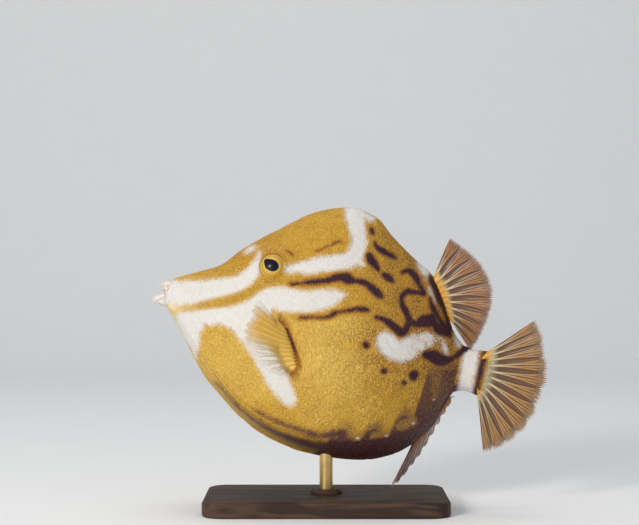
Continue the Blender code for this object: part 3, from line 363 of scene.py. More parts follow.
# Where the gold comes back inside the painted shade, and painted highlights on the tips of the plates'
# corners.
ISLANDS = {
    "rump_plate": ((109.2, -4.4, 1.2), (109.6, -8.0, 1.0), (110.2, -12.0, 0.2)),
    "ridge_flecks": ((99.6, -25.2, 1.0), (102.0, -23.8, 1.5), (104.0, -22.6, 1.3)),
    "low_flecks": ((91.2, -31.0, 1.1), (94.2, -31.0, 1.6)),
}
TIP_HIGHLIGHTS = {
    "first": ((85.3, -32.9, 0.35),),
    "second": ((95.8, -30.0, 0.35),),
    "third": ((104.6, -23.4, 0.35),),
    "fourth": ((110.2, -13.2, 0.2),),
}
# The gill slit and the fold behind the breast fin's base, both pressed in and painted dark as shade, and the
# fleshy lobe before it.
GILL = ((47.6, 5.0, 0.2), (47.4, 2.0, 0.2), (48.2, -1.5, 0.2), (49.4, -5.0, 0.2), (51.2, -8.5, 0.2))
CREASE = ((50.8, 0.2, 0.4), (52.4, -2.2, 0.6), (55.0, -5.9, 0.5), (57.6, -9.6, 0.3), (59.0, -11.8, 0.05))
LOBE = ((48.6, 1.0, 1.0), (51.4, -4.6, 1.6), (54.8, -10.8, 1.5), (56.2, -14.0, 0.6))
# How high each stands, below zero where it is cut, and its width.
GILL_CUT = (-0.45, 0.5)
CREASE_CUT = (-1.0, 0.55)
LOBE_RISE = (0.6, 1.6)


def smooth_curve(values, at):
    """The monotone cubic through the loft's stations, at the places asked for."""
    s = np.asarray(STATIONS, float)
    v = np.asarray(values, float)
    rise = np.diff(v) / np.diff(s)
    both = rise[:-1] * rise[1:]
    total = rise[:-1] + rise[1:]
    inner = np.where(both > 0, 2 * both / np.where(both > 0, total, 1), 0)
    slope = np.concatenate([[rise[0]], inner, [rise[-1]]])
    at = np.clip(np.asarray(at, float), s[0], s[-1])
    i = np.clip(np.searchsorted(s, at) - 1, 0, len(s) - 2)
    h = s[i + 1] - s[i]
    t = (at - s[i]) / h
    start = (1 + 2 * t) * (1 - t) ** 2 * v[i] + t * (1 - t) ** 2 * h * slope[i]
    return start + t**2 * (3 - 2 * t) * v[i + 1] - t**2 * (1 - t) * h * slope[i + 1]


def half_section(x, count):
    """Half of the cross-section at x: y outwards and z, evenly spaced from the back to the keel.

    From the back to the widest place the half width closes as 1 minus a power of the height's share.
    From there it narrows with the square of the way to the ridge, and below the ridge by a power again.
    """
    top, bottom, width = (float(smooth_curve(v, x)) for v in (BACK, BELLY, HALF_WIDTH))
    widest, ridge, ridge_z = (float(smooth_curve(v, x)) for v in (WIDEST, RIDGE_HALF, RIDGE_Z))
    closing = float(smooth_curve(BACK_CLOSING, x))
    s = np.cos(np.linspace(0, math.pi / 2, 90))
    t = np.linspace(0, 1, 30)[1:]
    q = np.linspace(0, 1, 50)[1:]
    y = np.concatenate([
        width * (1 - s**FLANK_POWER) ** closing,
        width - (width - ridge) * t**2,
        ridge * (1 - q**UNDER_POWER) ** UNDER_CLOSING,
    ])
    z = np.concatenate([
        widest + (top - widest) * s,
        widest + (ridge_z - widest) * t,
        ridge_z + (bottom - ridge_z) * q,
    ])
    along = np.concatenate([[0], np.cumsum(np.hypot(np.diff(y), np.diff(z)))])
    even = np.linspace(0, along[-1], count)
    return np.interp(even, along, y), np.interp(even, along, z)


def turn_tail(points):
    """Swings what lies behind the carapace sideways, in an even bend about an upright axis."""
    share = np.clip((points[..., 0] - TAIL_TURN_START) / (TAIL_TURN_END - TAIL_TURN_START), 0, None)
    bent = np.minimum(share, 1)
    span = TAIL_TURN_END - TAIL_TURN_START
    angle = TAIL_TURN * bent
    radius = span / TAIL_TURN
    straight = np.maximum(share - 1, 0) * span
    behind = share > 0
    centre_x = TAIL_TURN_START + radius * np.sin(angle) + straight * np.cos(angle)
    centre_y = radius * (1 - np.cos(angle)) + straight * np.sin(angle)
    y = points[..., 1]
    out = points.copy()
    out[..., 0] = np.where(behind, centre_x - y * np.sin(angle), points[..., 0])
    out[..., 1] = np.where(behind, centre_y + y * np.cos(angle), y)
    return out


def bell(value, width):
    """A bump: exp of minus the squared value over the width."""
    return np.exp(-((value / width) ** 2))


def ramp(value, low, high):
    """Rises evenly from 0 at low to 1 at high, or falls where low is the greater."""
    return np.clip((value - low) / (high - low), 0, 1)


def ridges(value, table):
    """The sum of bumps over a value: each row of the table gives a height, a place and a width."""
    return sum(height * bell(value - place, width) for height, place, width in table)


def graded(x, table):
    """The table's values read at x, straight between its places."""
    return np.interp(x, *zip(*table))


def unit(vectors):
    """Each vector divided by its own length."""
    return vectors / (np.linalg.norm(vectors, axis=-1, keepdims=True) + 1e-12)


def ring_normals(grid):
    """The outward normals of a grid of closed rings: the way round each ring crossed with the way along."""
    return unit(np.cross((np.roll(grid, -1, 1) - np.roll(grid, 1, 1)) / 2, np.gradient(grid, axis=0)))


def with_ends(grid):
    """The grid's points in one row, then the middle of its first ring and of its last."""
    return np.concatenate([grid.reshape(-1, 3), grid[:1].mean(1), grid[-1:].mean(1)])


def ring_faces(rows, cols, closed=True):
    """The four-sided faces of a grid of rows, joined round where closed."""
    i = np.arange(rows - 1)[:, None] * cols
    j = np.arange(cols if closed else cols - 1)[None]
    k = (j + 1) % cols
    return np.stack([i + j, i + k, i + k + cols, i + j + cols], -1).reshape(-1, 4).tolist()


def closed_faces(rows, cols):
    """The faces of closed rings, and those that join the first and last ring to the two end points."""
    k = np.arange(cols)
    after, last, size = (k + 1) % cols, (rows - 1) * cols, rows * cols
    first_end = np.stack([after, k, 0 * k + size], 1)
    last_end = np.stack([last + k, last + after, 0 * k + size + 1], 1)
    return ring_faces(rows, cols) + first_end.tolist() + last_end.tolist()


def loft():
    """The bare body as a grid of points, one closed ring for each station, in the fish's frame.

    Each half section is mirrored, eased once towards its neighbours and given the keel's bump. The
    rings at both ends shrink as a quarter of an ellipse does.
    """
    snout, stalk = SNOUT_ROUND_END - SNOUT_TIP, STALK_TIP - STALK_ROUND_START
    tip = SNOUT_ROUND_END - snout * np.cos(np.linspace(0.02, math.pi / 2, TIP_RINGS))
    body = np.linspace(SNOUT_ROUND_END, STALK_ROUND_START, BODY_RINGS)
    end = STALK_ROUND_START + stalk * np.sin(np.linspace(0, math.pi / 2 - 0.03, END_RINGS))
    rings = []
    for x in np.concatenate([tip[:-1], body, end[1:]]):
        y, z = half_section(x, SKIN_AROUND // 2 + 1)
        y, z = np.concatenate([-y, y[-2:0:-1]]), np.concatenate([z, z[-2:0:-1]])
        y, z = ((np.roll(v, 1) + 2 * v + np.roll(v, -1)) / 4 for v in (y, z))
        keel = KEEL_RISE * bell(y, KEEL_SPREAD) * ramp(x, *KEEL_FRONT) * ramp(x, *KEEL_REAR)
        z = z - np.where(z < KEEL_BELOW, keel, 0)
        front, rear = max(SNOUT_ROUND_END - x, 0) / snout, max(x - STALK_ROUND_START, 0) / stalk
        closing = math.sqrt(1 - front**2 - rear**2)
        middle = MOUTH_Z if x < SNOUT_ROUND_END else 0.0
        rings.append(np.stack([np.full(len(y), x), y * closing, middle + (z - middle) * closing], 1))
    return raise_orbits(np.array(rings))


def raise_orbits(grid):
    """Lifts a low mound around each eye along the normals: exp of minus the fourth power of the distance."""
    apart = np.hypot(grid[..., 0] - EYE_X, grid[..., 2] - EYE_Z)
    rise = ORBIT_RISE * np.exp(-((apart / ORBIT_SPREAD) ** 4))
    return grid + ring_normals(grid) * rise[..., None]


def skin_tree(grid):
    """The bare body, its tail turned, as a mesh that answers where a line meets it and how it faces there."""
    return BVHTree.FromPolygons(turn_tail(with_ends(grid)).tolist(), closed_faces(*grid.shape[:2]))


def on_skin(x, z, side):
    """Where a level line from the side meets the bare body at x and z, and the way the body faces there."""
    hit, out, _, _ = SKIN.ray_cast(Vector((x, side * 60, z)), Vector((0, -side, 0)))
    if hit is None:
        raise RuntimeError(f"the body has no skin at {x}, {z}")
    return np.array(hit), np.array(out)


def lip_line(front, corner, count):
    """Places along a lip from one corner of the mouth round the front to the other."""
    (x0, _, z0), (x1, half, z1) = front, corner
    sweep = np.linspace(-LIP_SWEEP, LIP_SWEEP, count)
    back = (1 - np.cos(sweep)) / (1 - math.cos(LIP_SWEEP))
    side = half * np.sin(sweep) / math.sin(LIP_SWEEP)
    return np.stack([x0 + (x1 - x0) * back, side, z0 + (z1 - z0) * back], 1)


def fan(roots, aims, lengths, bends, u, r):
    """Points at ray number u and share r of its length, with rays' values read between them."""
    count = len(roots)
    where = np.clip(u, -0.99, count - 0.01)

    def read(table):
        table = np.asarray(table, float)
        table = np.concatenate([[2 * table[0] - table[1]], table, [2 * table[-1] - table[-2]]])
        i = np.floor(where + 1).astype(int)
        f = where + 1 - i
        if table.ndim > 1:
            f = f[..., None]
        return table[i] * (1 - f) + table[i + 1] * f

    length = read(lengths)[..., None]
    share = r[..., None]
    return read(roots) + length * (read(aims) * share + read(bends) * np.maximum(share, 0) ** 2)


def along(start, end, count):
    """Evenly spaced points from start to end."""
    start, end = np.asarray(start, float), np.asarray(end, float)
    return start + (end - start) * np.linspace(0, 1, count)[:, None]


def spread(values, count):
    """The given values read evenly at count places."""
    return np.interp(np.linspace(0, 1, count), np.linspace(0, 1, len(values)), values)


def rounded(path, steps=5):
    """A smooth curve through the rows of path: between two rows, the cubic that their neighbours steer."""
    p = np.asarray(path, float)
    p = np.concatenate([[2 * p[0] - p[1]], p, [2 * p[-1] - p[-2]]])
    t = np.linspace(0, 1, steps, endpoint=False)[None, :, None]
    a, b, c, d = (p[k : len(p) - 3 + k, None] for k in range(4))
    curve = b + 0.5 * t * (c - a + t * (2 * a - 5 * b + 4 * c - d + t * (3 * (b - c) + d - a)))
    return np.concatenate([curve.reshape(-1, p.shape[1]), p[-2:-1]])


def marks(x, z, table):
    """How far each skin point lies outside the nearest mark in side view, negative inside it.

    A mark is a line through its points. The distance to it is less its half width there.
    """
    nearest = np.full(x.shape, FAR)
    for path in table.values():
        line = rounded(path) if len(path) > 1 else np.asarray([path[0], path[0]], float)
        for (ax, az, aw), (bx, bz, bw) in zip(line[:-1], line[1:]):
            reach = math.hypot(bx - ax, bz - az) ** 2 + 1e-9
            t = np.clip(((x - ax) * (bx - ax) + (z - az) * (bz - az)) / reach, 0, 1)
            apart = np.hypot(x - ax - t * (bx - ax), z - az - t * (bz - az)) - (aw + t * (bw - aw))
            nearest = np.minimum(nearest, apart)
    return nearest


def posed(points):
    """The fish's own millimetres carried to the pose on the stand, in metres."""
    c, s = math.cos(PITCH), math.sin(PITCH)
    x, y, z = np.moveaxis(np.asarray(points, float), -1, 0)
    return np.stack([LIPS_X + x * c + z * s, y, LIPS_Z - x * s + z * c], -1) * MM


def piece(name, points, faces, finish, replaces=(), slot="skin", values=None):
    """A smooth mesh piece that rides on the model, with its named values stored on its points."""
    mesh = bpy.data.meshes.new(name)
    mesh.from_pydata(posed(points).tolist(), [], faces)
    for key, value in (values or {}).items():
        layer = mesh.attributes.new(key, "FLOAT", "POINT")
        layer.data.foreach_set("value", np.asarray(value, np.float32).ravel())
    mesh.shade_smooth()
    obj = bpy.data.objects.new(name, mesh)
    bpy.context.scene.collection.objects.link(obj)
    mesh.materials.append(finish)
    if replaces:
        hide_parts(*replaces)
    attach(obj, "root")


def tube(path, radii, sides):
    """Points and faces of a closed tube: at each place of path, a circle of its radius across the path."""
    path, radii = np.asarray(path, float), np.asarray(radii, float)
    ahead = unit(np.gradient(path, axis=0))
    side = unit(np.cross(ahead, np.where(np.abs(ahead[:, 2:]) > 0.9, (0.0, 1.0, 0.0), (0.0, 0.0, 1.0))))
    up = np.cross(side, ahead)
    a = 2 * math.pi * np.arange(sides) / sides
    circle = side[:, None] * np.cos(a)[None, :, None] + up[:, None] * np.sin(a)[None, :, None]
    rings = path[:, None] + radii[:, None, None] * circle
    points = np.concatenate([rings.reshape(-1, 3), path[:1], path[-1:]])
    return points, [face[::-1] for face in closed_faces(len(path), sides)]


def blob(centre, radii, rows, cols):
    """Points and faces of an egg shape: a ball stretched by radii."""
    angle = np.linspace(0, math.pi, rows)[1:-1, None]
    a = 2 * math.pi * np.arange(cols)[None] / cols
    ball = np.stack([np.sin(angle) * np.cos(a), np.sin(angle) * np.sin(a), -np.cos(angle) + 0 * a], -1)
    points = np.concatenate([ball.reshape(-1, 3), [(0, 0, -1)], [(0, 0, 1)]])
    return points * np.asarray(radii) + np.asarray(centre), closed_faces(rows - 2, cols)


def gather(parts):
    """Several sets of points and faces as one."""
    points, faces, start = [], [], 0
    for p, f in parts:
        points.append(p)
        faces += [[k + start for k in face] for face in f]
        start += len(p)
    return np.concatenate(points), faces


def plate_centres(points, weight):
    """Evenly spread places on the skin: each moves to the middle of what lies nearest, again and again."""
    draw = np.random.default_rng(7)
    centres = points[draw.choice(len(points), PLATES, replace=False, p=weight / weight.sum())]
    for _ in range(PLATE_ROUNDS):
        owner = nearest(points, centres)[0]
        total = np.bincount(owner, weight, PLATES)
        middle = np.stack([np.bincount(owner, weight * points[:, k], PLATES) for k in range(3)], 1)
        centres = middle / np.maximum(total, 1e-9)[:, None]
    return centres


def nearest(points, centres, chunk=12000):
    """For each point, which centre is nearest, how far it is, and how far the second nearest is."""
    owner, first, second = [], [], []
    square = (centres**2).sum(1)
    for start in range(0, len(points), chunk):
        p = points[start : start + chunk]
        apart = (p**2).sum(1)[:, None] + square[None] - 2 * p @ centres.T
        two = np.argpartition(apart, 1, axis=1)[:, :2]
        d = np.sqrt(np.maximum(np.take_along_axis(apart, two, 1), 0))
        order = np.argsort(d, 1)
        d = np.take_along_axis(d, order, 1)
        owner.append(np.take_along_axis(two, order, 1)[:, 0])
        first.append(d[:, 0])
        second.append(d[:, 1])
    return np.concatenate(owner), np.concatenate(first), np.concatenate(second)


def signed_volume(points, faces):
    """The volume inside four-sided faces, negative where they point inwards."""
    a, b, c, d = (points[faces[:, k]] for k in range(4))
    return float((np.cross(a, b) * c).sum() + (np.cross(a, c) * d).sum())


SKIN = skin_tree(loft())


class Wire:
    """An output socket that takes part in sums: each operator adds the Math node that works it out."""

    def __init__(self, paint, socket):
        self.paint = paint
        self.socket = socket

    def math(self, operation, *others):
        return self.paint.node("ShaderNodeMath", {"operation": operation}, dict(enumerate((self, *others))))

    def __add__(self, other):
        return self.math("ADD", other)

    def __sub__(self, other):
        return self.math("SUBTRACT", other)

    def __rsub__(self, other):
        return self.paint.node("ShaderNodeMath", {"operation": "SUBTRACT"}, {0: other, 1: self})

    def __mul__(self, other):
        return self.math("MULTIPLY", other)

    __radd__ = __add__
    __rmul__ = __mul__

    def least(self, other):
        return self.math("MINIMUM", other)

    def most(self, other):
        return self.math("MAXIMUM", other)

    def sine(self):
        return self.math("SINE")

    def between(self, low, high):
        """Rises smoothly from 0 at low to 1 at high, or falls where low is the greater."""
        if low < high:
            inputs = {"Value": self, "From Min": low, "From Max": high}
            return self.paint.node("ShaderNodeMapRange", {"interpolation_type": "SMOOTHSTEP"}, inputs)
        return 1 - self.between(high, low)


class Paint:
    """A material under construction: its nodes, and the shader that they feed."""

    def __init__(self, name, **fixed):
        self.material = bpy.data.materials.new(name)
        self.material.use_nodes = True
        self.tree = self.material.node_tree
        self.shader = self.tree.nodes["Principled BSDF"]
        for key, value in fixed.items():
            self.shader.inputs[key.replace("_", " ")].default_value = value

    def node(self, kind, settings=None, inputs=None, out=0):
        """A new node: its settings first, then the values or links of its sockets, and one output."""
        node = self.tree.nodes.new(kind)
        for key, value in (settings or {}).items():
            setattr(node, key, value)
        for key, value in (inputs or {}).items():
            self.feed(node.inputs[key], value)
        return Wire(self, node.outputs[out])

    def feed(self, socket, value):
        """Links a socket to another node's output, or sets it."""
        if isinstance(value, Wire):
            self.tree.links.new(value.socket, socket)
        elif socket.type == "RGBA":
            socket.default_value = (*tuple(value)[:3], 1)
        else:
            socket.default_value = value

    def give(self, **sockets):
        """The finished material, once the shader's sockets have what they are given."""
        for key, value in sockets.items():
            self.feed(self.shader.inputs[key.replace("_", " ")], value)
        return self.material

    def place(self, scale=(1, 1, 1)):
        """The object's places, stretched along each axis."""
        spot = self.node("ShaderNodeTexCoord", out="Object")
        return self.node("ShaderNodeVectorMath", {"operation": "MULTIPLY"}, {0: spot, 1: scale})

    def noise(self, scale, detail=3.0, at=None, twist=0.0):
        inputs = {"Vector": at or self.place(), "Scale": scale, "Detail": detail, "Distortion": twist}
        return self.node("ShaderNodeTexNoise", None, inputs | {"Roughness": 0.55})

    def shifted(self, amount, reach):
        """The object's places, each moved along every axis by reach times what amount is over a half."""
        shift = (amount - 0.5) * reach
        step = self.node("ShaderNodeCombineXYZ", None, {0: shift, 1: shift, 2: shift})
        return self.node("ShaderNodeVectorMath", {"operation": "ADD"}, {0: self.place(), 1: step})

    def cells(self, scale, at=None):
        """How far each place lies from the middle of its own grain."""
        return self.node("ShaderNodeTexVoronoi", None, {"Vector": at or self.place(), "Scale": scale})

    def value(self, name):
        """A number that the mesh holds on its points."""
        return self.node("ShaderNodeAttribute", {"attribute_name": name}, out="Fac")

    def mix(self, share, first, second):
        node = self.tree.nodes.new("ShaderNodeMix")
        node.data_type = "RGBA"
        self.feed(node.inputs[0], share)
        self.feed(node.inputs[6], first)
        self.feed(node.inputs[7], second)
        return Wire(self, node.outputs[2])

    def bump(self, height, strength, distance):
        inputs = {"Height": height, "Strength": strength, "Distance": distance}
        return self.node("ShaderNodeBump", None, inputs)


def skin_paint(look):
    """Golden skin, fine grained, with white bars and amber-edged scribbles, painted highlights, and painted
    light and shade.
    """
    soft = {"Subsurface_Weight": 0.04, "Subsurface_Radius": (0.0014, 0.0008, 0.0004)}
    p = Paint("boxfish skin", Specular_IOR_Level=0.26, Coat_Weight=0.04, Coat_Roughness=0.25, **soft)
    grain = p.cells(1350.0, at=p.shifted(p.noise(600.0, 1.0), 0.0006))
    fine = p.noise(2100.0, 2.0)
    middle = p.noise(240.0, 3.0)
    soft = p.noise(60.0, 3.0)
    along, high = p.value("along"), p.value("high")
    # The golden ground with dark grooves between the grains, and painted light and shade on the flank,
    # forehead and rear.
    groove = grain.between(0.26, 0.60)
    ragged = (fine - 0.5) * 0.8 + (middle - 0.5) * 2.2 + (grain - 0.35) * 0.7
    # Painted shade towards the upper rear, which also darkens the grooves there.
    rear = along.between(62.0, 100.0) * high.between(-28.0, 4.0)
    # Painted shade on the forehead, which faces up.
    brow_shade = high.between(8.0, 30.0) * along.between(52.0, 14.0)
    # Painted light on the mid flank, in paler gold.
    painted_light = along.between(96.0, 66.0) * high.between(-36.0, -16.0) * high.between(22.0, 4.0)
    gold = p.mix(painted_light * (0.55 + soft.between(0.34, 0.66) * 0.45), look.gold, look.pale_gold)
    gold = p.mix(p.value("amber").most(rear * 0.42).most(brow_shade * 0.50), gold, look.amber)
    mesh = (groove * (0.34 + rear * 0.48) * (0.6 + middle.between(0.35, 0.65) * 0.5)).least(0.92)
    gold = p.mix(mesh, gold, look.olive)
    # Painted highlights on the brightest grains, stronger towards the rear.
    gold = p.mix(fine.between(0.55, 0.72) * (1 - groove) * (0.18 + rear * 0.20), gold, look.painted_glint)
    thread = p.noise(290.0, 2.0) - 0.5
    crinkle = thread.most(thread * -1.0).between(0.030, 0.008)
    crinkle = crinkle * along.between(48.0, 72.0) * high.between(4.0, -8.0) * high.between(-38.0, -28.0)
    # Painted highlights along the crinkles on the mid flank.
    gold = p.mix(crinkle * soft.between(0.35, 0.6) * 0.55, gold, look.painted_glint)
    # Painted shade on the underside and the rear flank, darker lower down, with a soft edge and a fainter
    # band above it.
    under = p.value("under") * (along + (middle - 0.5) * 14.0).between(62.0, 82.0)
    rough = (middle - 0.5) * 3.6 + (fine - 0.5) * 2.4
    edge = p.value("rump")
    painted_shade = (edge + rough).between(1.8, -1.6) * (0.84 + high.between(-10.0, -24.0) * 0.16)
    painted_shade = painted_shade.most((edge + rough * 1.4).between(5.0, 0.4) * along.between(68.0, 86.0) * 0.55).most(under)
    gold = p.mix(painted_shade * 0.95, gold, p.mix(groove, look.painted_shade_grain, look.painted_shade))
    # Painted shade in the folds over the ridge.
    gold = p.mix(p.value("fold") * 0.55, gold, look.olive)
    # The white bars, worn to amber in the saddle, and the pale muzzle.
    white = (p.value("white") + ragged).between(1.6, -1.2)
    white_skin = p.mix(groove * 0.20 + fine.between(0.45, 0.7) * 0.12, look.white, look.white_shade)
    worn = groove * middle.between(0.40, 0.62) * along.between(94.5, 102.5) * along.between(112.0, 108.0)
    white_skin = p.mix(worn * 0.8, white_skin, look.amber)
    gold = p.mix(along.between(19.0, 6.0) * high.between(8.0, 4.0) * 0.62, gold, look.cream)
    colour = p.mix(white, gold, white_skin)
    # The dark marks within their amber edges.
    halo = (p.value("halo") + ragged * 0.8).between(0.9, -1.1)
    halo = halo * along.between(6.0, 24.0)
    colour = p.mix(halo * 0.85, colour, p.mix(mesh, look.band, look.olive))
    rim = (p.value("dark") + ragged).between(1.9, 0.2)
    colour = p.mix(rim * p.value("rimmed"), colour, look.amber)
    dark = (p.value("dark") + ragged * 0.85).between(1.10, -0.45)
    scribble = p.mix(fine.between(0.3, 0.7), look.scribble, look.scribble_warm)
    colour = p.mix(dark, colour, scribble)
    # What is pressed into the skin or stands up on it.
    # The pale crescents by the eyes, and painted highlights on the tips of the plates' corners.
    colour = p.mix((p.value("pale") * 0.85).most(p.value("tip") * 0.8), colour, look.white)
    colour = p.mix(p.value("bleached") * 0.9, colour, look.fin_pale)
    colour = p.mix(p.value("socket"), colour, look.amber)
    colour = p.mix(p.value("seam").between(0.45, 0.0) * 0.12 * (1 - white), colour, look.olive)
    # Painted shade in the gill slit and the crease behind the breast fin, turning amber lower down.
    colour = p.mix(p.value("slit"), colour, p.mix(high.between(-5.0, -11.0), look.slit, look.amber))
    # Painted shade in the hollow of the open mouth.
    colour = p.mix(p.value("gape_shade"), colour, look.gape_shade)
    crack = p.noise(480.0, 2.0) - 0.5
    cushion = crack.most(crack * -1.0).between(0.0, 0.07)
    relief = ((1 - groove) * 0.75 + fine * 0.35 + crinkle + cushion * 1.1) * (1 - white * 0.80)
    normal = p.bump(relief, 0.6, 0.0005)
    return p.give(Base_Color=colour, Roughness=0.40 + groove * 0.2 + fine * 0.1, Normal=normal)


def fin_paint(name, look, colours, clear, flesh, pale):
    """Rays that pale or redden outwards on a thin, half-clear web, with flesh by the root.

    The cross joints are a sine of the distance from the root.
    """
    root, inner, outer, web = colours
    p = Paint(name, Roughness=0.4, Coat_Weight=0.2, Coat_Roughness=0.25)
    ray, share, bundle = p.value("ray"), p.value("share"), p.value("bundle")
    mottle = p.noise(260.0, 3.0)
    joint = (p.value("reach") * (2 * math.pi / JOINT_LENGTH)).sine() * 0.5 + 0.5
    stem = p.mix((share + (mottle - 0.5) * 0.25).between(0.10, 0.62), inner, outer)
    stem = p.mix(joint.between(0.7, 1.0) * share.between(0.2, 0.4) * 0.4, stem, look.joint)
    film = p.mix((share + (mottle - 0.5) * 0.2).between(pale, pale * 0.2), web, inner)
    colour = p.mix(ray.between(0.25, 0.75), film, stem)
    fleshy = (share + (mottle - 0.5) * 0.10).between(flesh + 0.08, flesh * 0.45)
    colour = p.mix(fleshy, colour, root)
    solid = ray.between(0.1, 0.6).most(bundle * 0.30).most(share.between(flesh + 0.16, flesh * 0.6))
    thin = share.between(0.80, 1.0) * (1 - ray.between(0.3, 0.9) * 0.5) * 0.45
    alpha = (clear + (1 - clear) * solid) * (1 - thin)
    lift = ray.between(0.1, 0.9) * 0.6 + joint * ray * 0.25
    return p.give(Base_Color=colour, Alpha=alpha, Normal=p.bump(lift, 0.5, 0.0004))


def breast_paint(name, look):
    """Clear webs with olive rays; the upper rays and the root are golden."""
    p = Paint(name, Roughness=0.4, Specular_IOR_Level=0.35)
    ray, share = p.value("ray"), p.value("share")
    mottle = p.noise(260.0, 3.0)
    row = p.value("row") + (mottle - 0.5) * 0.2
    golden = row.between(0.70, 0.42) * row.between(0.0, 0.14)
    golden = golden * (share + (mottle - 0.5) * 0.3).between(1.10, 0.84)
    golden = golden.most((share + (mottle - 0.5) * 0.1).between(0.42, 0.18))
    stem = p.mix(ray.between(0.2, 0.8), look.fin_film, look.fin_gold)
    colour = p.mix(golden, look.fin_olive, stem)
    dense = 0.40 + share.between(1.0, 0.55) * 0.42
    clear = 0.04 + ray.between(0.55, 0.95) * share.between(1.05, 0.3) * 0.40
    alpha = golden * dense + (1 - golden) * clear
    return p.give(Base_Color=colour, Alpha=alpha, Normal=p.bump(ray.between(0.1, 0.9), 0.4, 0.0004))


def eye_paint(look):
    """A blue-black pupil in a gold ring with fine spokes, dark at its rim, under a wet cornea."""
    p = Paint("boxfish eye", Roughness=0.3, Specular_IOR_Level=0.18, Coat_Weight=0.1, Coat_Roughness=0.04)
    reach, turn = p.value("reach"), p.value("turn")
    mottle = p.noise(900.0, 3.0)
    spokes = (turn * 46.0 + mottle * 9.0).sine() * 0.5 + 0.5
    iris = p.mix(spokes.between(0.2, 0.9) * 0.5, look.iris, look.iris_light)
    wave = reach + (mottle - 0.5) * 0.3
    iris = p.mix(wave.between(3.3, 3.6) * wave.between(4.1, 3.8) * 0.55, iris, look.amber)
    iris = p.mix(wave.between(4.45, 4.75) * 0.8, iris, look.olive)
    ring = p.value("pupil")
    colour = p.mix(ring.between(0.40, 0.10), iris, look.iris_light)
    colour = p.mix(ring.between(0.14, -0.08), colour, look.pupil)
    return p.give(Base_Color=colour)


def fin_piece(name, plan, base, finish, seed, turned=False):
    """A fin on a fine grid: its plan and rays follow the solid's, and each ray forks three times.

    Across one ray's share of the fin, the height is a ridge by each branch: the web's half thickness
    plus the ray's, times exp of minus the squared distance to the nearest branch over the ridge width.
    """
    roots, aims, lengths, bends = (np.asarray(v, float) for v in plan)
    flesh, reach, depth = base
    aims = unit(aims)
    draw = np.random.default_rng(seed)
    count = len(roots)
    lengths = lengths * (1 + 0.02 * draw.standard_normal(count))
    mean = lengths.mean()
    share = np.concatenate([[-depth / mean], np.linspace(0, 1, FIN_ROWS)])
    outward = np.clip(share, 0, 1)[:, None]
    local = (np.arange(FIN_STEPS) + 0.5) / FIN_STEPS - 0.5
    u = (np.arange(count)[:, None] + local[None]).ravel()
    u = u[(u > -0.42) & (u < count - 0.58)]
    off = np.abs(u - np.round(u))[None]
    apart = off
    for start, parted, power in FORKS:
        apart = np.abs(apart - parted * ramp(share, start, 1)[:, None] ** power)
    rays = (roots, aims, lengths, bends)
    ahead, behind = (fan(*rays, np.full(len(share), k), share) for k in (count / 2, count / 2 - 1))
    pitch = np.maximum(np.linalg.norm(ahead - behind, axis=1), 0.6)[:, None]
    width = np.clip((0.36 - 0.20 * outward) / pitch, 0.034, 0.30)
    ridge = bell(apart, width)
    branches = 0.10 + 0.44 * ramp(share, FORKS[0][0], 1)[:, None] ** 0.75
    bundle = ramp(off, branches + 0.025, branches - 0.025)
    ragged = 0.012 * np.abs(draw.standard_normal(len(u)))[None]
    margin = 1 - 0.025 * (2 * off) ** 2 - 0.07 * (1 - ridge[-1:]) - ragged
    r = share[:, None] * (1 - (1 - margin) * ramp(share, 0.45, 1)[:, None] ** 2)
    middle = fan(*rays, np.broadcast_to(u, r.shape), r)
    normal = unit(np.cross(np.gradient(middle, axis=1), np.gradient(middle, axis=0)))
    ripple = RIPPLE * np.cos(2 * math.pi * off) * outward
    middle = middle + normal * (ripple * pitch)[..., None]
    thick = WEB_HALF + RAY_HALF * ridge * (1 - 0.55 * outward)
    taper = np.minimum(1, 0.3 + np.minimum(u + 0.5, count - 0.5 - u) * 0.7)[None]
    root = flesh * bell(np.maximum(share, 0)[:, None] * mean, reach)
    thick = (thick + root * taper) * np.clip((1.02 - share[:, None]) / 0.06, 0.25, 1)
    half = normal * thick[..., None]
    points = np.concatenate([(middle + half).reshape(-1, 3), (middle - half).reshape(-1, 3)])
    faces = two_sided(*r.shape)
    if turned:
        points = turn_tail(points)
    if signed_volume(points, faces) < 0:
        faces = faces[:, ::-1]
    shares = np.broadcast_to(share[:, None], r.shape)
    row = np.broadcast_to((u / (count - 1))[None], r.shape)
    values = {"ray": ridge, "bundle": bundle, "share": shares, "reach": r * mean, "row": row}
    values = {key: np.tile(value.ravel(), 2) for key, value in values.items()}
    piece(name, points, faces.tolist(), finish, (name.replace("_membrane", ""),), "fins", values)


def two_sided(rows, cols):
    """The faces of a sheet's two sides, whose points follow one another, and of the rim between them."""
    front, size = np.array(ring_faces(rows, cols, closed=False)), rows * cols
    first, right = np.arange(cols), np.arange(1, rows) * cols + cols - 1
    last, left = size - 2 - np.arange(cols - 1), np.arange(rows - 2, 0, -1) * cols
    edge = np.concatenate([first, right, last, left])
    after = np.roll(edge, -1)
    rim = np.stack([edge, edge + size, after + size, after], 1)
    return np.concatenate([front, front[:, ::-1] + size, rim])


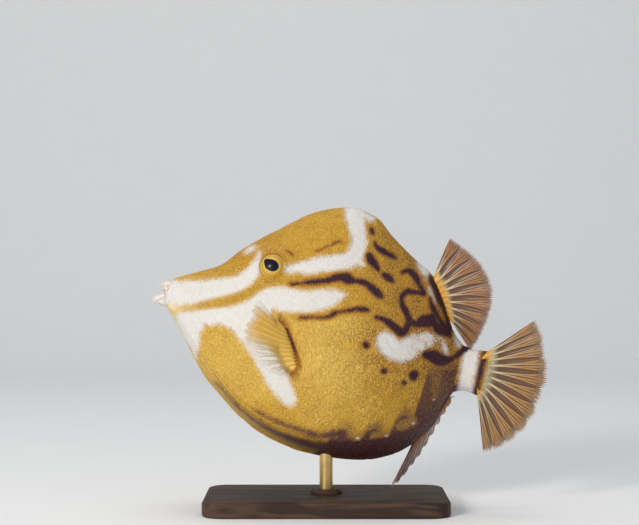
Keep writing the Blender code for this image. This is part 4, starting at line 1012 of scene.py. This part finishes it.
def skin_relief(grid, x, z):
    """How far each skin point is lifted along its normal, in millimetres, and what is painted by shape.

    Each plate is a low dome: its lift is 1 minus exp of minus the squared distance to its border. The
    orbit, the brow and the lobe are ridges by exp of minus the squared distance to their middle line.
    """
    length = np.linalg.norm(np.gradient(grid, axis=0), axis=2)
    width = np.linalg.norm(np.roll(grid, -1, 1) - grid, axis=2)
    thinned = (slice(3, None, 3), slice(None, None, 2))
    weight = (length * width / graded(x, PLATE_SIZES) ** 4)[thinned].ravel()
    _, first, second = nearest(grid.reshape(-1, 3), plate_centres(grid[thinned].reshape(-1, 3), weight))
    seam = ((second - first) / 2).reshape(x.shape)
    lift = PLATE_RISE * (0.4 - bell(seam, SEAM_WIDTH)) * graded(x, PLATE_SHARES)
    pale, socket = np.zeros_like(x), np.zeros_like(x)
    for side in (-1, 1):
        eye, _, back, up = eye_frame(side)
        apart = grid - eye
        reach = np.linalg.norm(apart, axis=2)
        ahead, above = apart @ -back, apart @ up
        over = ramp(above, 1, 5)
        lift = np.where(reach < 6.8, lift * 0.2, lift)
        lift = lift + ridges(reach, ORBIT_RIDGES) + over * ridges(reach, BROW_RIDGES)
        front = ramp(ahead - 0.28 * reach, 0, 2) * ramp(np.abs(above + 0.4), 3.4, 2.2)
        pale = np.maximum(pale, bell(reach - 5.35, 0.42) * front)
        pale = np.maximum(pale, 0.55 * bell(reach - 8.3, 0.30) * over * ramp(np.abs(ahead - 1.5), 5.5, 3.5))
        socket = np.maximum(socket, 0.8 * ramp(reach, 4.95, 4.65))
    slit, crease, lobe = (np.maximum(marks(x, z, {"line": line}), 0) for line in (GILL, CREASE, LOBE))
    for distance, (height, spread_by) in ((slit, GILL_CUT), (crease, CREASE_CUT), (lobe, LOBE_RISE)):
        lift = lift + height * bell(distance, spread_by)
    folds = ridges(z - smooth_curve(RIDGE_Z, x), FOLDS) * ramp(x, 22, 30) * ramp(x, 92, 76)
    # The slit and the crease are painted dark as shade.
    cut_shade = np.clip(np.maximum(0.55 * (1 - slit / 0.5), 1.6 - crease / 0.3), 0, 1)
    values = {"seam": seam, "pale": pale, "socket": socket, "slit": cut_shade, "fold": folds}
    return lift - FOLD_DEPTH * folds, values | {"amber": ramp(lobe, 3.2, 0.6)}


def make_skin(look):
    """The whole carapace as one fine loft, with plates, orbits, gill slits and the open mouth pressed in.

    Each point moves along its normal by the relief. The mouth is a hollow by exp of minus the fourth
    powers of the places across and up, each over its half size.
    """
    grid = loft()
    x, y, z = np.moveaxis(grid, 2, 0)
    lift, values = skin_relief(grid, x, z)
    shaped = grid + ring_normals(grid) * lift[..., None]
    notch = MOUTH_CORNER_X - np.abs(z - GAPE_Z) * 1.3
    high, wide = (z - GAPE_Z) / GAPE_HALF_HEIGHT, y / GAPE_HALF_WIDTH
    hollow = np.exp(-(high**4) - wide**4) * ramp(x, 7.5, 4.5)
    shaped[..., 0] = np.maximum(shaped[..., 0], notch) + hollow * GAPE_DEPTH
    (white_x, white_half), (dark_x, dark_half) = WHITE_BAND, DARK_BAND
    stalk = np.where(x > STALK_FROM, np.abs(x - white_x + (z - 2) * 0.06) - white_half, FAR)
    band = np.where(x > STALK_FROM, np.abs(x - dark_x) - dark_half, FAR)
    dark = np.minimum(marks(x, z, DARK_MARKS), marks(x, z, SPOTS))
    # The painted shade on the rear flank: below its upper edge, and along the ridge.
    rump = np.minimum(z - graded(x, SHADE_EDGE), marks(x, z, SHADE_LINES))
    values["amber"] = np.maximum(values["amber"], ramp(x, STALK_FROM, 119))
    values |= {
        "along": x, "high": z,
        "white": np.minimum(marks(x, z, WHITE_MARKS), stalk),
        # Painted highlights on the tips of the plates' corners.
        "tip": ramp(marks(x, z, TIP_HIGHLIGHTS), 0.3, 0),
        "dark": np.minimum(dark, band),
        "halo": marks(x, z, AMBER_MARKS),
        "rimmed": graded(x, RIMMED),
        # Painted shade below the lower ridge, and on the rear flank under its edge.
        "under": ramp(smooth_curve(RIDGE_Z, x) - z, -1, 1),
        "rump": np.where(x < 117.5, np.maximum(rump, -marks(x, z, ISLANDS)), FAR),
        # Painted shade in the mouth's hollow.
        "gape_shade": ramp(hollow, 0.35, 0.85),
        "bleached": ramp(x, 127.8, 129.0),
    }
    values = {k: np.concatenate([v.ravel(), v[0, :1], v[-1, :1]]) for k, v in values.items()}
    points, faces = turn_tail(with_ends(shaped)), closed_faces(*x.shape)
    piece("fish_skin", points, faces, skin_paint(look), ("head", "torso", "tail_stalk"), "skin", values)


def frame_of(gaze):
    """The rearward and the upward direction square to the way an eye looks."""
    back = unit(np.array((1.0, 0, 0)) - gaze * gaze[0])
    up = np.cross(gaze, back)
    return back, up * np.sign(up[2])


def eye_frame(side):
    """An eye's place on the skin, the way it looks, and its rearward and upward directions."""
    hit, out = on_skin(EYE_X, EYE_Z, side)
    return hit, out, *frame_of(out)


def make_eye(side, name, finish):
    """A ball whose radius swells at the cornea, by exp of minus the squared angle from its front.

    The pupil's edge is a circle, stretched by the cosine of twice the angle and drawn out to one point.
    """
    hit, out, _, _ = eye_frame(side)
    centre = hit - out * EYE_DEPTH
    gaze = unit(out + np.array((0, side * 1.0, 0)))
    back, up = frame_of(gaze)
    theta = np.linspace(0, EYE_COVER, EYE_RINGS)[1:, None]
    phi = 2 * math.pi * np.arange(EYE_AROUND)[None] / EYE_AROUND
    radius = EYE_RADIUS * (1 + CORNEA_RISE * bell(theta, CORNEA_SPREAD)) + 0 * phi
    flat = radius * np.sin(theta)
    ex, ez = flat * np.cos(phi), flat * np.sin(phi)
    points = centre + gaze * (radius * np.cos(theta))[..., None] + back * ex[..., None] + up * ez[..., None]
    ends = [centre + gaze * EYE_RADIUS * (1 + CORNEA_RISE), centre - gaze * EYE_RADIUS * 0.6]
    points = np.concatenate([points.reshape(-1, 3), ends])
    faces = closed_faces(EYE_RINGS - 1, EYE_AROUND)
    if np.dot(np.cross(back, up), gaze) > 0:
        faces = [face[::-1] for face in faces]
    ex, ez = np.append(ex.ravel(), (0, 0)), np.append(ez.ravel(), (0, 0))
    angle = np.arctan2(ez, ex)
    edge = PUPIL_RADIUS + PUPIL_STRETCH * np.cos(2 * (angle - PUPIL_AXIS))
    turned = np.angle(np.exp(1j * (angle - PUPIL_POINT_AT)))
    edge = edge + PUPIL_POINT * bell(turned, PUPIL_POINT_SPREAD)
    reach = np.hypot(ex, ez)
    reach[-1] = EYE_RADIUS
    values = {"pupil": reach - edge, "reach": reach, "turn": angle}
    piece(name + "_ball", points, faces, finish, (name,), "eyes", values)


def mottled(name, scale, low, high, first, second, **fixed):
    """A finish that drifts between two colours as a noise of that scale passes from low to high."""
    p = Paint(name, **fixed)
    return p.give(Base_Color=p.mix(p.noise(scale).between(low, high), first, second))


def make_mouth(look):
    """The lips as rounded rolls, the lower jaw that stands out in front, and blunt tan teeth.

    A lip is a tube whose radius falls off with the cosine of the way round, crossed by a sine's folds.
    """
    sweep = np.linspace(-LIP_SWEEP, LIP_SWEEP, LIP_STEPS)
    radii = LIP_THICKNESS * (0.55 + 0.45 * np.cos(sweep)) * (1 + 0.07 * np.sin(11 * sweep) * np.cos(sweep))
    upper, lower = lip_line(*UPPER_LIP, LIP_STEPS), lip_line(*LOWER_LIP, LIP_STEPS)
    soft = {"Roughness": 0.4, "Subsurface_Weight": 0.1, "Subsurface_Radius": (0.002, 0.001, 0.0006)}
    p = Paint("lip skin", Coat_Weight=0.08, **soft)
    colour = p.mix(p.noise(420.0).between(0.42, 0.66) * 0.55, look.white, look.lip_shade)
    finish = p.give(Base_Color=colour, Normal=p.bump(p.cells(1400.0).between(0.6, 0.1), 0.25, 0.0003))
    muzzle, jaw = ([blob(*egg) for egg in eggs] for eggs in (MUZZLE, JAW))
    piece("upper_lip", *gather([tube(upper, radii * UPPER_SWELL, 24), *muzzle]), finish)
    jaw.append(tube(lower, radii[::-1] * LOWER_SWELL, 24))
    piece("jaw_flesh", *gather(jaw), finish, ("lower_jaw",))
    teeth = []
    share = np.linspace(-0.5, 1, 9)
    for line, (count, length, radius, inset, way) in ((upper, UPPER_TEETH), (lower, LOWER_TEETH)):
        for a in np.linspace(-TOOTH_SWEEP, TOOTH_SWEEP, count):
            x, y, z = (np.interp(a, sweep, line[:, k]) for k in range(3))
            root = np.array((x + inset[0] * math.cos(a), y * inset[1], z + inset[2]))
            stem = root + share[:, None] * length * np.array((-0.10, 0.12 * math.sin(a), way)) / 1.01
            teeth.append(tube(stem, radius * graded(share, TOOTH_TAPER), 10))
    gloss = {"Roughness": 0.25, "Coat_Weight": 0.3}
    enamel = mottled("tooth", 800.0, 0.35, 0.65, look.tooth, look.tooth_light, **gloss)
    piece("teeth", *gather(teeth), enamel)


def make_nostrils(look):
    """A short rim round a pit before each eye: a ring whose tube is thickest outwards."""
    rims, pits = [], []
    a, b = np.meshgrid(2 * math.pi * np.arange(36) / 36, 2 * math.pi * np.arange(14) / 14, indexing="ij")
    ring = NOSTRIL_RADIUS + NOSTRIL_WALL * np.cos(b)
    for side in (-1, 1):
        hit, out = on_skin(NOSTRIL_X, NOSTRIL_Z, side)
        back = unit(np.cross(out, (0, 0, 1.0)))
        up = np.cross(out, back)
        points = hit + out * (NOSTRIL_LIFT + NOSTRIL_RISE * np.sin(b))[..., None]
        points = points + back * (ring * np.cos(a))[..., None] + up * (ring * np.sin(a))[..., None]
        points, faces = points.reshape(-1, 3), np.array(ring_faces(37, 14)) % ring.size
        if signed_volume(points, faces) < 0:
            faces = faces[:, ::-1]
        rims.append((points, faces.tolist()))
        pits.append(blob(hit + out * 0.02, (NOSTRIL_PIT,) * 3, 10, 16))
    rim = mottled("nostril rim", 900.0, 0.4, 0.6, look.gold, look.pale_gold, Roughness=0.4)
    piece("nostril_rims", *gather(rims), rim)
    # The pits are painted dark as shade in their recess.
    pit = mottled("nostril pit", 900.0, 0.4, 0.6, look.slit, look.gape_shade, Roughness=0.7)
    piece("nostril_pits", *gather(pits), pit)


def radians(values, count):
    """The given degrees read evenly at count places, in radians."""
    return np.radians(spread(values, count))


def aimed(angle, lean):
    """The way each ray points: by angle up from the rear in side view, and by lean to the fish's right."""
    return np.stack([np.cos(angle) * np.cos(lean), np.sin(lean), np.sin(angle) * np.cos(lean)], 1)


def make_pectorals(look):
    """Both breast fins: rays from a slanting line on the flank, swung out from it and bent back."""
    n = PECTORAL_RAYS
    finish = breast_paint("breast fin", look)
    sides = ((-1, "left", LEFT_ANGLES, LEFT_SWING), (1, "right", RIGHT_ANGLES, RIGHT_SWING))
    for side, word, angles, swing in sides:
        roots = np.array([on_skin(x, z, side)[0] for x, z in along(*PECTORAL_BASE, n)]) - PECTORAL_SET
        angle, out = radians(angles, n), radians(swing, n)
        bends = np.stack([np.full(n, -0.05), -side * 0.22 * np.sin(out), 0.03 * np.sin(angle)], 1)
        plan = (roots, aimed(angle, side * out), spread(PECTORAL_LENGTHS, n), bends)
        fin_piece(f"pectoral_fin_{word}_membrane", plan, (0.6, 3.0, 2.4), finish, 3 + side)


def make_dorsal(look):
    """The back fin: rays from the slope of the rump, leaning a little to the left and curling over."""
    n = DORSAL_RAYS
    angle, lean = radians(DORSAL_ANGLES, n), radians(DORSAL_LEAN, n)
    bends = np.stack([0.06 * np.cos(angle), spread(DORSAL_CURL, n), np.full(n, -0.08)], 1)
    (x0, z0), (x1, z1) = DORSAL_BASE
    colours = (look.fin_flesh, look.fin_pale, look.fin_rust, look.fin_web)
    plan = (along((x0, 0, z0), (x1, 0, z1), n), aimed(angle, lean), spread(DORSAL_LENGTHS, n), bends)
    finish = fin_paint("back fin", look, colours, 0.88, 0.14, 0.24)
    fin_piece("dorsal_fin_membrane", plan, (1.3, 5.0, 2.4), finish, 5)


def make_anal(look):
    """The fin under the stalk: rays from its base line, each turned along the line and swung to the right."""
    n = ANAL_RAYS
    front, rear = (np.array((x, 0.0, z)) for x, z in ANAL_BASE)
    line = unit(rear - front)
    out = np.array((line[2], 0, -line[0]))
    sweep, swing = radians(ANAL_SWEEP, n)[:, None], radians(ANAL_SWING, n)[:, None]
    aims = line * np.sin(sweep) + np.cos(sweep) * (out * np.cos(swing) + np.array((0, 1, 0)) * np.sin(swing))
    bends = np.tile((0, -0.12, -0.05), (n, 1))
    colours = (look.fin_rust, look.fin_rust, look.fin_pink, look.fin_mauve)
    plan = (along(front, rear, n), aims, spread(ANAL_LENGTHS, n), bends)
    finish = fin_paint("rump fin", look, colours, 0.86, 0.10, 0.3)
    fin_piece("anal_fin_membrane", plan, (1.2, 5.0, 2.6), finish, 6)


def make_caudal(look):
    """The tail fin: rays fanned from the stalk's end, curled sideways, all turned with the tail."""
    n = CAUDAL_RAYS
    (x0, z0), (x1, z1) = CAUDAL_BASE
    angle = radians(CAUDAL_ANGLES, n)
    bends = np.stack([0 * angle, spread(CAUDAL_CURL, n), 0 * angle], 1)
    colours = (look.fin_flesh, look.fin_pale, look.fin_brown, look.fin_web)
    finish = fin_paint("tail fin", look, colours, 0.88, 0.06, 0.24)
    plan = (along((x0, 0, z0), (x1, 0, z1), n), aimed(angle, 0 * angle), spread(CAUDAL_LENGTHS, n), bends)
    fin_piece("caudal_fin_membrane", plan, (2.3, 4.6, 3.0), finish, 9, turned=True)


def finish_stand(look):
    """Dark lacquered wood with its grain along the base, and lengthwise brushed brass on the rod."""
    p = Paint("stand walnut", Specular_IOR_Level=0.25)
    drift = p.noise(1.0, 3.0, at=p.place((9.0, 60.0, 60.0)), twist=0.4)
    grain = p.noise(1.0, 4.0, at=p.place((40.0, 900.0, 900.0)))
    rings = (drift * 38.0).sine() * 0.5 + 0.5
    colour = p.mix(rings.between(0.1, 0.95), look.wood, look.wood_light)
    colour = p.mix(grain.between(0.52, 0.72) * 0.6, colour, (0.018, 0.010, 0.007))
    walnut = p.give(Base_Color=colour, Roughness=0.55 + grain * 0.2, Normal=p.bump(grain, 0.12, 0.0002))
    p = Paint("rod brass", Metallic=1.0)
    brushed = p.noise(1.0, 3.0, at=p.place((2600.0, 2600.0, 60.0)))
    tarnish = p.noise(140.0, 3.0)
    colour = p.mix(tarnish.between(0.4, 0.7) * 0.5, look.brass, (0.36, 0.22, 0.08))
    brass = p.give(Base_Color=colour, Roughness=0.22 + brushed * 0.22, Normal=p.bump(brushed, 0.15, 0.0001))
    for node, finish in (("stand_base", walnut), ("stand_rod", brass)):
        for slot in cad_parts[node].material_slots:
            slot.material = finish


def make_stage(look):
    """A pale floor that sweeps up into a backdrop, three soft lights, and the camera off the left flank."""
    bend = np.linspace(0.05, math.pi / 2, 24)
    flat, upright = np.linspace(FLOOR_FRONT, FLOOR_BACK, 20), np.linspace(0.6, BACKDROP_TOP, 8)
    straight = np.full(len(upright), FLOOR_BACK + FLOOR_BEND)
    run = np.concatenate([flat, FLOOR_BACK + FLOOR_BEND * np.sin(bend), straight])
    rise = np.concatenate([0 * flat, FLOOR_BEND - FLOOR_BEND * np.cos(bend), upright])
    across = np.linspace(-FLOOR_HALF_WIDTH, FLOOR_HALF_WIDTH, FLOOR_COLUMNS)
    points = np.stack([*np.meshgrid(across, run), np.meshgrid(across, rise)[1]], -1)
    mesh = bpy.data.meshes.new("studio_floor")
    mesh.from_pydata(points.reshape(-1, 3).tolist(), [], ring_faces(len(run), FLOOR_COLUMNS, closed=False))
    mesh.shade_smooth()
    p = Paint("studio paper", Roughness=0.9)
    shade = tuple(c * 0.97 for c in look.floor[:3])
    mesh.materials.append(p.give(Base_Color=p.mix(p.noise(40.0), look.floor, shade)))
    floor = bpy.data.objects.new("studio_floor", mesh)
    bpy.context.scene.collection.objects.link(floor)
    world = bpy.data.worlds.new("studio")
    bpy.context.scene.world = world
    world.use_nodes = True
    sky = world.node_tree.nodes["Background"]
    sky.inputs["Color"].default_value = SKY_TINT
    sky.inputs["Strength"].default_value = SKY_STRENGTH
    for name, where, size, power, tint in LAMPS:
        lamp = bpy.data.lights.new(name, "AREA")
        lamp.shape = "DISK"
        lamp.size = size
        lamp.energy = power
        lamp.color = tint
        obj = bpy.data.objects.new(name, lamp)
        bpy.context.scene.collection.objects.link(obj)
        obj.location = where
        obj.rotation_euler = (LAMP_AIM - Vector(where)).to_track_quat("-Z", "Y").to_euler()
    bpy.context.scene.view_settings.view_transform = "Standard"
    lens = bpy.data.cameras.new("camera")
    lens.sensor_width = SENSOR_WIDTH
    lens.lens = SENSOR_WIDTH * look.camera_distance / look.camera_width
    lens.clip_start = 0.01
    camera = bpy.data.objects.new("camera", lens)
    bpy.context.scene.collection.objects.link(camera)
    camera.location = (look.camera_x, -look.camera_distance, look.camera_z)
    camera.rotation_euler = (math.pi / 2, 0, 0)
    bpy.context.scene.camera = camera


def swatch(name, words, colour):
    """A colour that a user can change, opaque."""
    kind = {"subtype": "COLOR", "size": 4, "min": 0, "max": 1}
    return bpy.props.FloatVectorProperty(name=name, description=words, default=(*colour, 1), **kind)


def length(name, words, value):
    """A length in metres that a user can change."""
    return bpy.props.FloatProperty(name=name, description=words, unit="LENGTH", default=value, precision=4)


class BoxfishLook(bpy.types.PropertyGroup):
    """The colours of the model and the place of the camera."""

    gold: swatch("Gold", "The skin's ground colour", (0.62, 0.345, 0.030))
    # The pale gold is also painted light on the mid flank.
    pale_gold: swatch("Pale gold", "Where the ground colour is paler", (0.78, 0.51, 0.10))
    # The colour of the painted highlights on the grains.
    painted_glint: swatch("Glint", "The brightest grains", (0.90, 0.60, 0.16))
    # The amber is also painted shade on the forehead and towards the rear.
    amber: swatch("Amber", "The edges of the dark marks and the breast fins' bases", (0.42, 0.16, 0.014))
    cream: swatch("Cream", "The faded gold of the muzzle", (0.84, 0.72, 0.46))
    band: swatch("Band", "The stripes between the white bars", (0.56, 0.315, 0.024))
    olive: swatch("Olive", "The grooves between the grains", (0.17, 0.075, 0.014))
    white: swatch("White", "The bars and the cheek", (0.68, 0.66, 0.63))
    white_shade: swatch("White shade", "The grooves in the bars", (0.46, 0.40, 0.34))
    scribble: swatch("Scribble", "The dark marks", (0.013, 0.002, 0.011))
    scribble_warm: swatch("Warm scribble", "The warmer flecks in the dark marks", (0.060, 0.014, 0.020))
    # The colours of the painted shade on the underside and the rear flank, and of its lighter grains.
    painted_shade: swatch("Dusk", "The underside towards the tail", (0.050, 0.011, 0.026))
    painted_shade_grain: swatch("Light dusk", "The grains of the underside", (0.105, 0.030, 0.042))
    # Painted shade in the gill slits and the fold behind the breast fins, and in the nostril pits.
    slit: swatch("Slit", "The fold behind the breast fins", (0.085, 0.016, 0.008))
    # Painted shade inside the mouth and in the nostril pits.
    gape_shade: swatch("Gape", "The inside of the mouth", (0.09, 0.020, 0.018))
    lip_shade: swatch("Lip shade", "The flush on the lips", (0.62, 0.42, 0.24))
    tooth: swatch("Tooth", "The teeth", (0.42, 0.20, 0.08))
    tooth_light: swatch("Light tooth", "Where the teeth are paler", (0.66, 0.40, 0.20))
    iris: swatch("Iris", "The gold ring of the eye", (0.54, 0.33, 0.045))
    iris_light: swatch("Light iris", "The spokes and the edge of the pupil", (0.66, 0.46, 0.11))
    pupil: swatch("Pupil", "The middle of the eye", (0.006, 0.006, 0.014))
    fin_flesh: swatch("Fin flesh", "The fleshy bases of the fins", (0.66, 0.33, 0.03))
    fin_gold: swatch("Fin gold", "The golden upper rays of the breast fins", (0.88, 0.52, 0.09))
    fin_pale: swatch("Fin pale", "The pale stretch of the rays", (0.60, 0.53, 0.33))
    fin_rust: swatch("Fin rust", "The outer rays of the back fin", (0.36, 0.16, 0.05))
    fin_brown: swatch("Fin brown", "The outer rays of the tail fin", (0.46, 0.25, 0.075))
    fin_web: swatch("Fin web", "The webs between the rays", (0.12, 0.052, 0.024))
    fin_mauve: swatch("Fin mauve", "The web of the fin under the stalk", (0.13, 0.055, 0.045))
    fin_olive: swatch("Fin olive", "The lower rays of the breast fins", (0.44, 0.36, 0.15))
    fin_pink: swatch("Fin pink", "The outer rays of the fin under the stalk", (0.62, 0.42, 0.33))
    fin_film: swatch("Fin film", "The web of the breast fins", (1.0, 0.69, 0.15))
    joint: swatch("Joint", "The cross joints of the rays", (0.14, 0.06, 0.03))
    wood: swatch("Wood", "The base's dark grain", (0.035, 0.018, 0.012))
    wood_light: swatch("Light wood", "The base's light grain", (0.075, 0.040, 0.024))
    brass: swatch("Brass", "The rod", (0.66, 0.46, 0.18))
    floor: swatch("Floor", "The studio paper", (0.92, 0.92, 0.91))
    camera_distance: length("Camera distance", "From the camera to the middle of the fish", 0.64)
    camera_width: length("View width", "How much the view spans across the fish", 0.2427)
    camera_x: length("Camera along", "The camera's place along the fish", -0.0025)
    camera_z: length("Camera height", "The camera's height over the floor", 0.0936)


class BOXFISH_OT_skin(bpy.types.Operator):
    """Build the plated skin with its markings"""
    bl_idname = "boxfish.skin"
    bl_label = "Skin"

    def execute(self, context):
        look = context.scene.boxfish_look
        make_skin(look)
        return {"FINISHED"}


class BOXFISH_OT_eyes(bpy.types.Operator):
    """Build both eyes"""
    bl_idname = "boxfish.eyes"
    bl_label = "Eyes"

    def execute(self, context):
        look = context.scene.boxfish_look
        finish = eye_paint(look)
        make_eye(-1, "eye_left", finish)
        make_eye(1, "eye_right", finish)
        return {"FINISHED"}


class BOXFISH_OT_mouth(bpy.types.Operator):
    """Build the lips, the jaw, the teeth and the nostrils"""
    bl_idname = "boxfish.mouth"
    bl_label = "Mouth and nostrils"

    def execute(self, context):
        look = context.scene.boxfish_look
        make_mouth(look)
        make_nostrils(look)
        return {"FINISHED"}


class BOXFISH_OT_fins(bpy.types.Operator):
    """Build every fin with its forked rays"""
    bl_idname = "boxfish.fins"
    bl_label = "Fins"

    def execute(self, context):
        look = context.scene.boxfish_look
        make_pectorals(look)
        make_dorsal(look)
        make_anal(look)
        make_caudal(look)
        return {"FINISHED"}


class BOXFISH_OT_stand(bpy.types.Operator):
    """Finish the wooden base and the brass rod"""
    bl_idname = "boxfish.stand"
    bl_label = "Stand finish"

    def execute(self, context):
        look = context.scene.boxfish_look
        finish_stand(look)
        return {"FINISHED"}


class BOXFISH_OT_stage(bpy.types.Operator):
    """Set out the floor, the lights and the camera"""
    bl_idname = "boxfish.stage"
    bl_label = "Studio"

    def execute(self, context):
        look = context.scene.boxfish_look
        make_stage(look)
        return {"FINISHED"}


OPERATORS = (
    BOXFISH_OT_skin, BOXFISH_OT_eyes, BOXFISH_OT_mouth,
    BOXFISH_OT_fins, BOXFISH_OT_stand, BOXFISH_OT_stage,
)


class BOXFISH_PT_pieces(bpy.types.Panel):
    """The pieces of the boxfish and their sizes and colours"""
    bl_label = "Boxfish"
    bl_idname = "BOXFISH_PT_pieces"
    bl_space_type = "VIEW_3D"
    bl_region_type = "UI"
    bl_category = "Boxfish"

    def draw(self, context):
        for operator in OPERATORS:
            self.layout.operator(operator.bl_idname)
        for key in BoxfishLook.__annotations__:
            self.layout.prop(context.scene.boxfish_look, key)


CLASSES = (BoxfishLook, *OPERATORS, BOXFISH_PT_pieces)


def register():
    for cls in CLASSES:
        bpy.utils.register_class(cls)
    bpy.types.Scene.boxfish_look = bpy.props.PointerProperty(type=BoxfishLook)


def unregister():
    del bpy.types.Scene.boxfish_look
    for cls in reversed(CLASSES):
        bpy.utils.unregister_class(cls)


def main():
    """Builds every piece in order."""
    register()
    bpy.ops.boxfish.skin()
    bpy.ops.boxfish.eyes()
    bpy.ops.boxfish.mouth()
    bpy.ops.boxfish.fins()
    bpy.ops.boxfish.stand()
    bpy.ops.boxfish.stage()


if __name__ == "__main__":
    main()
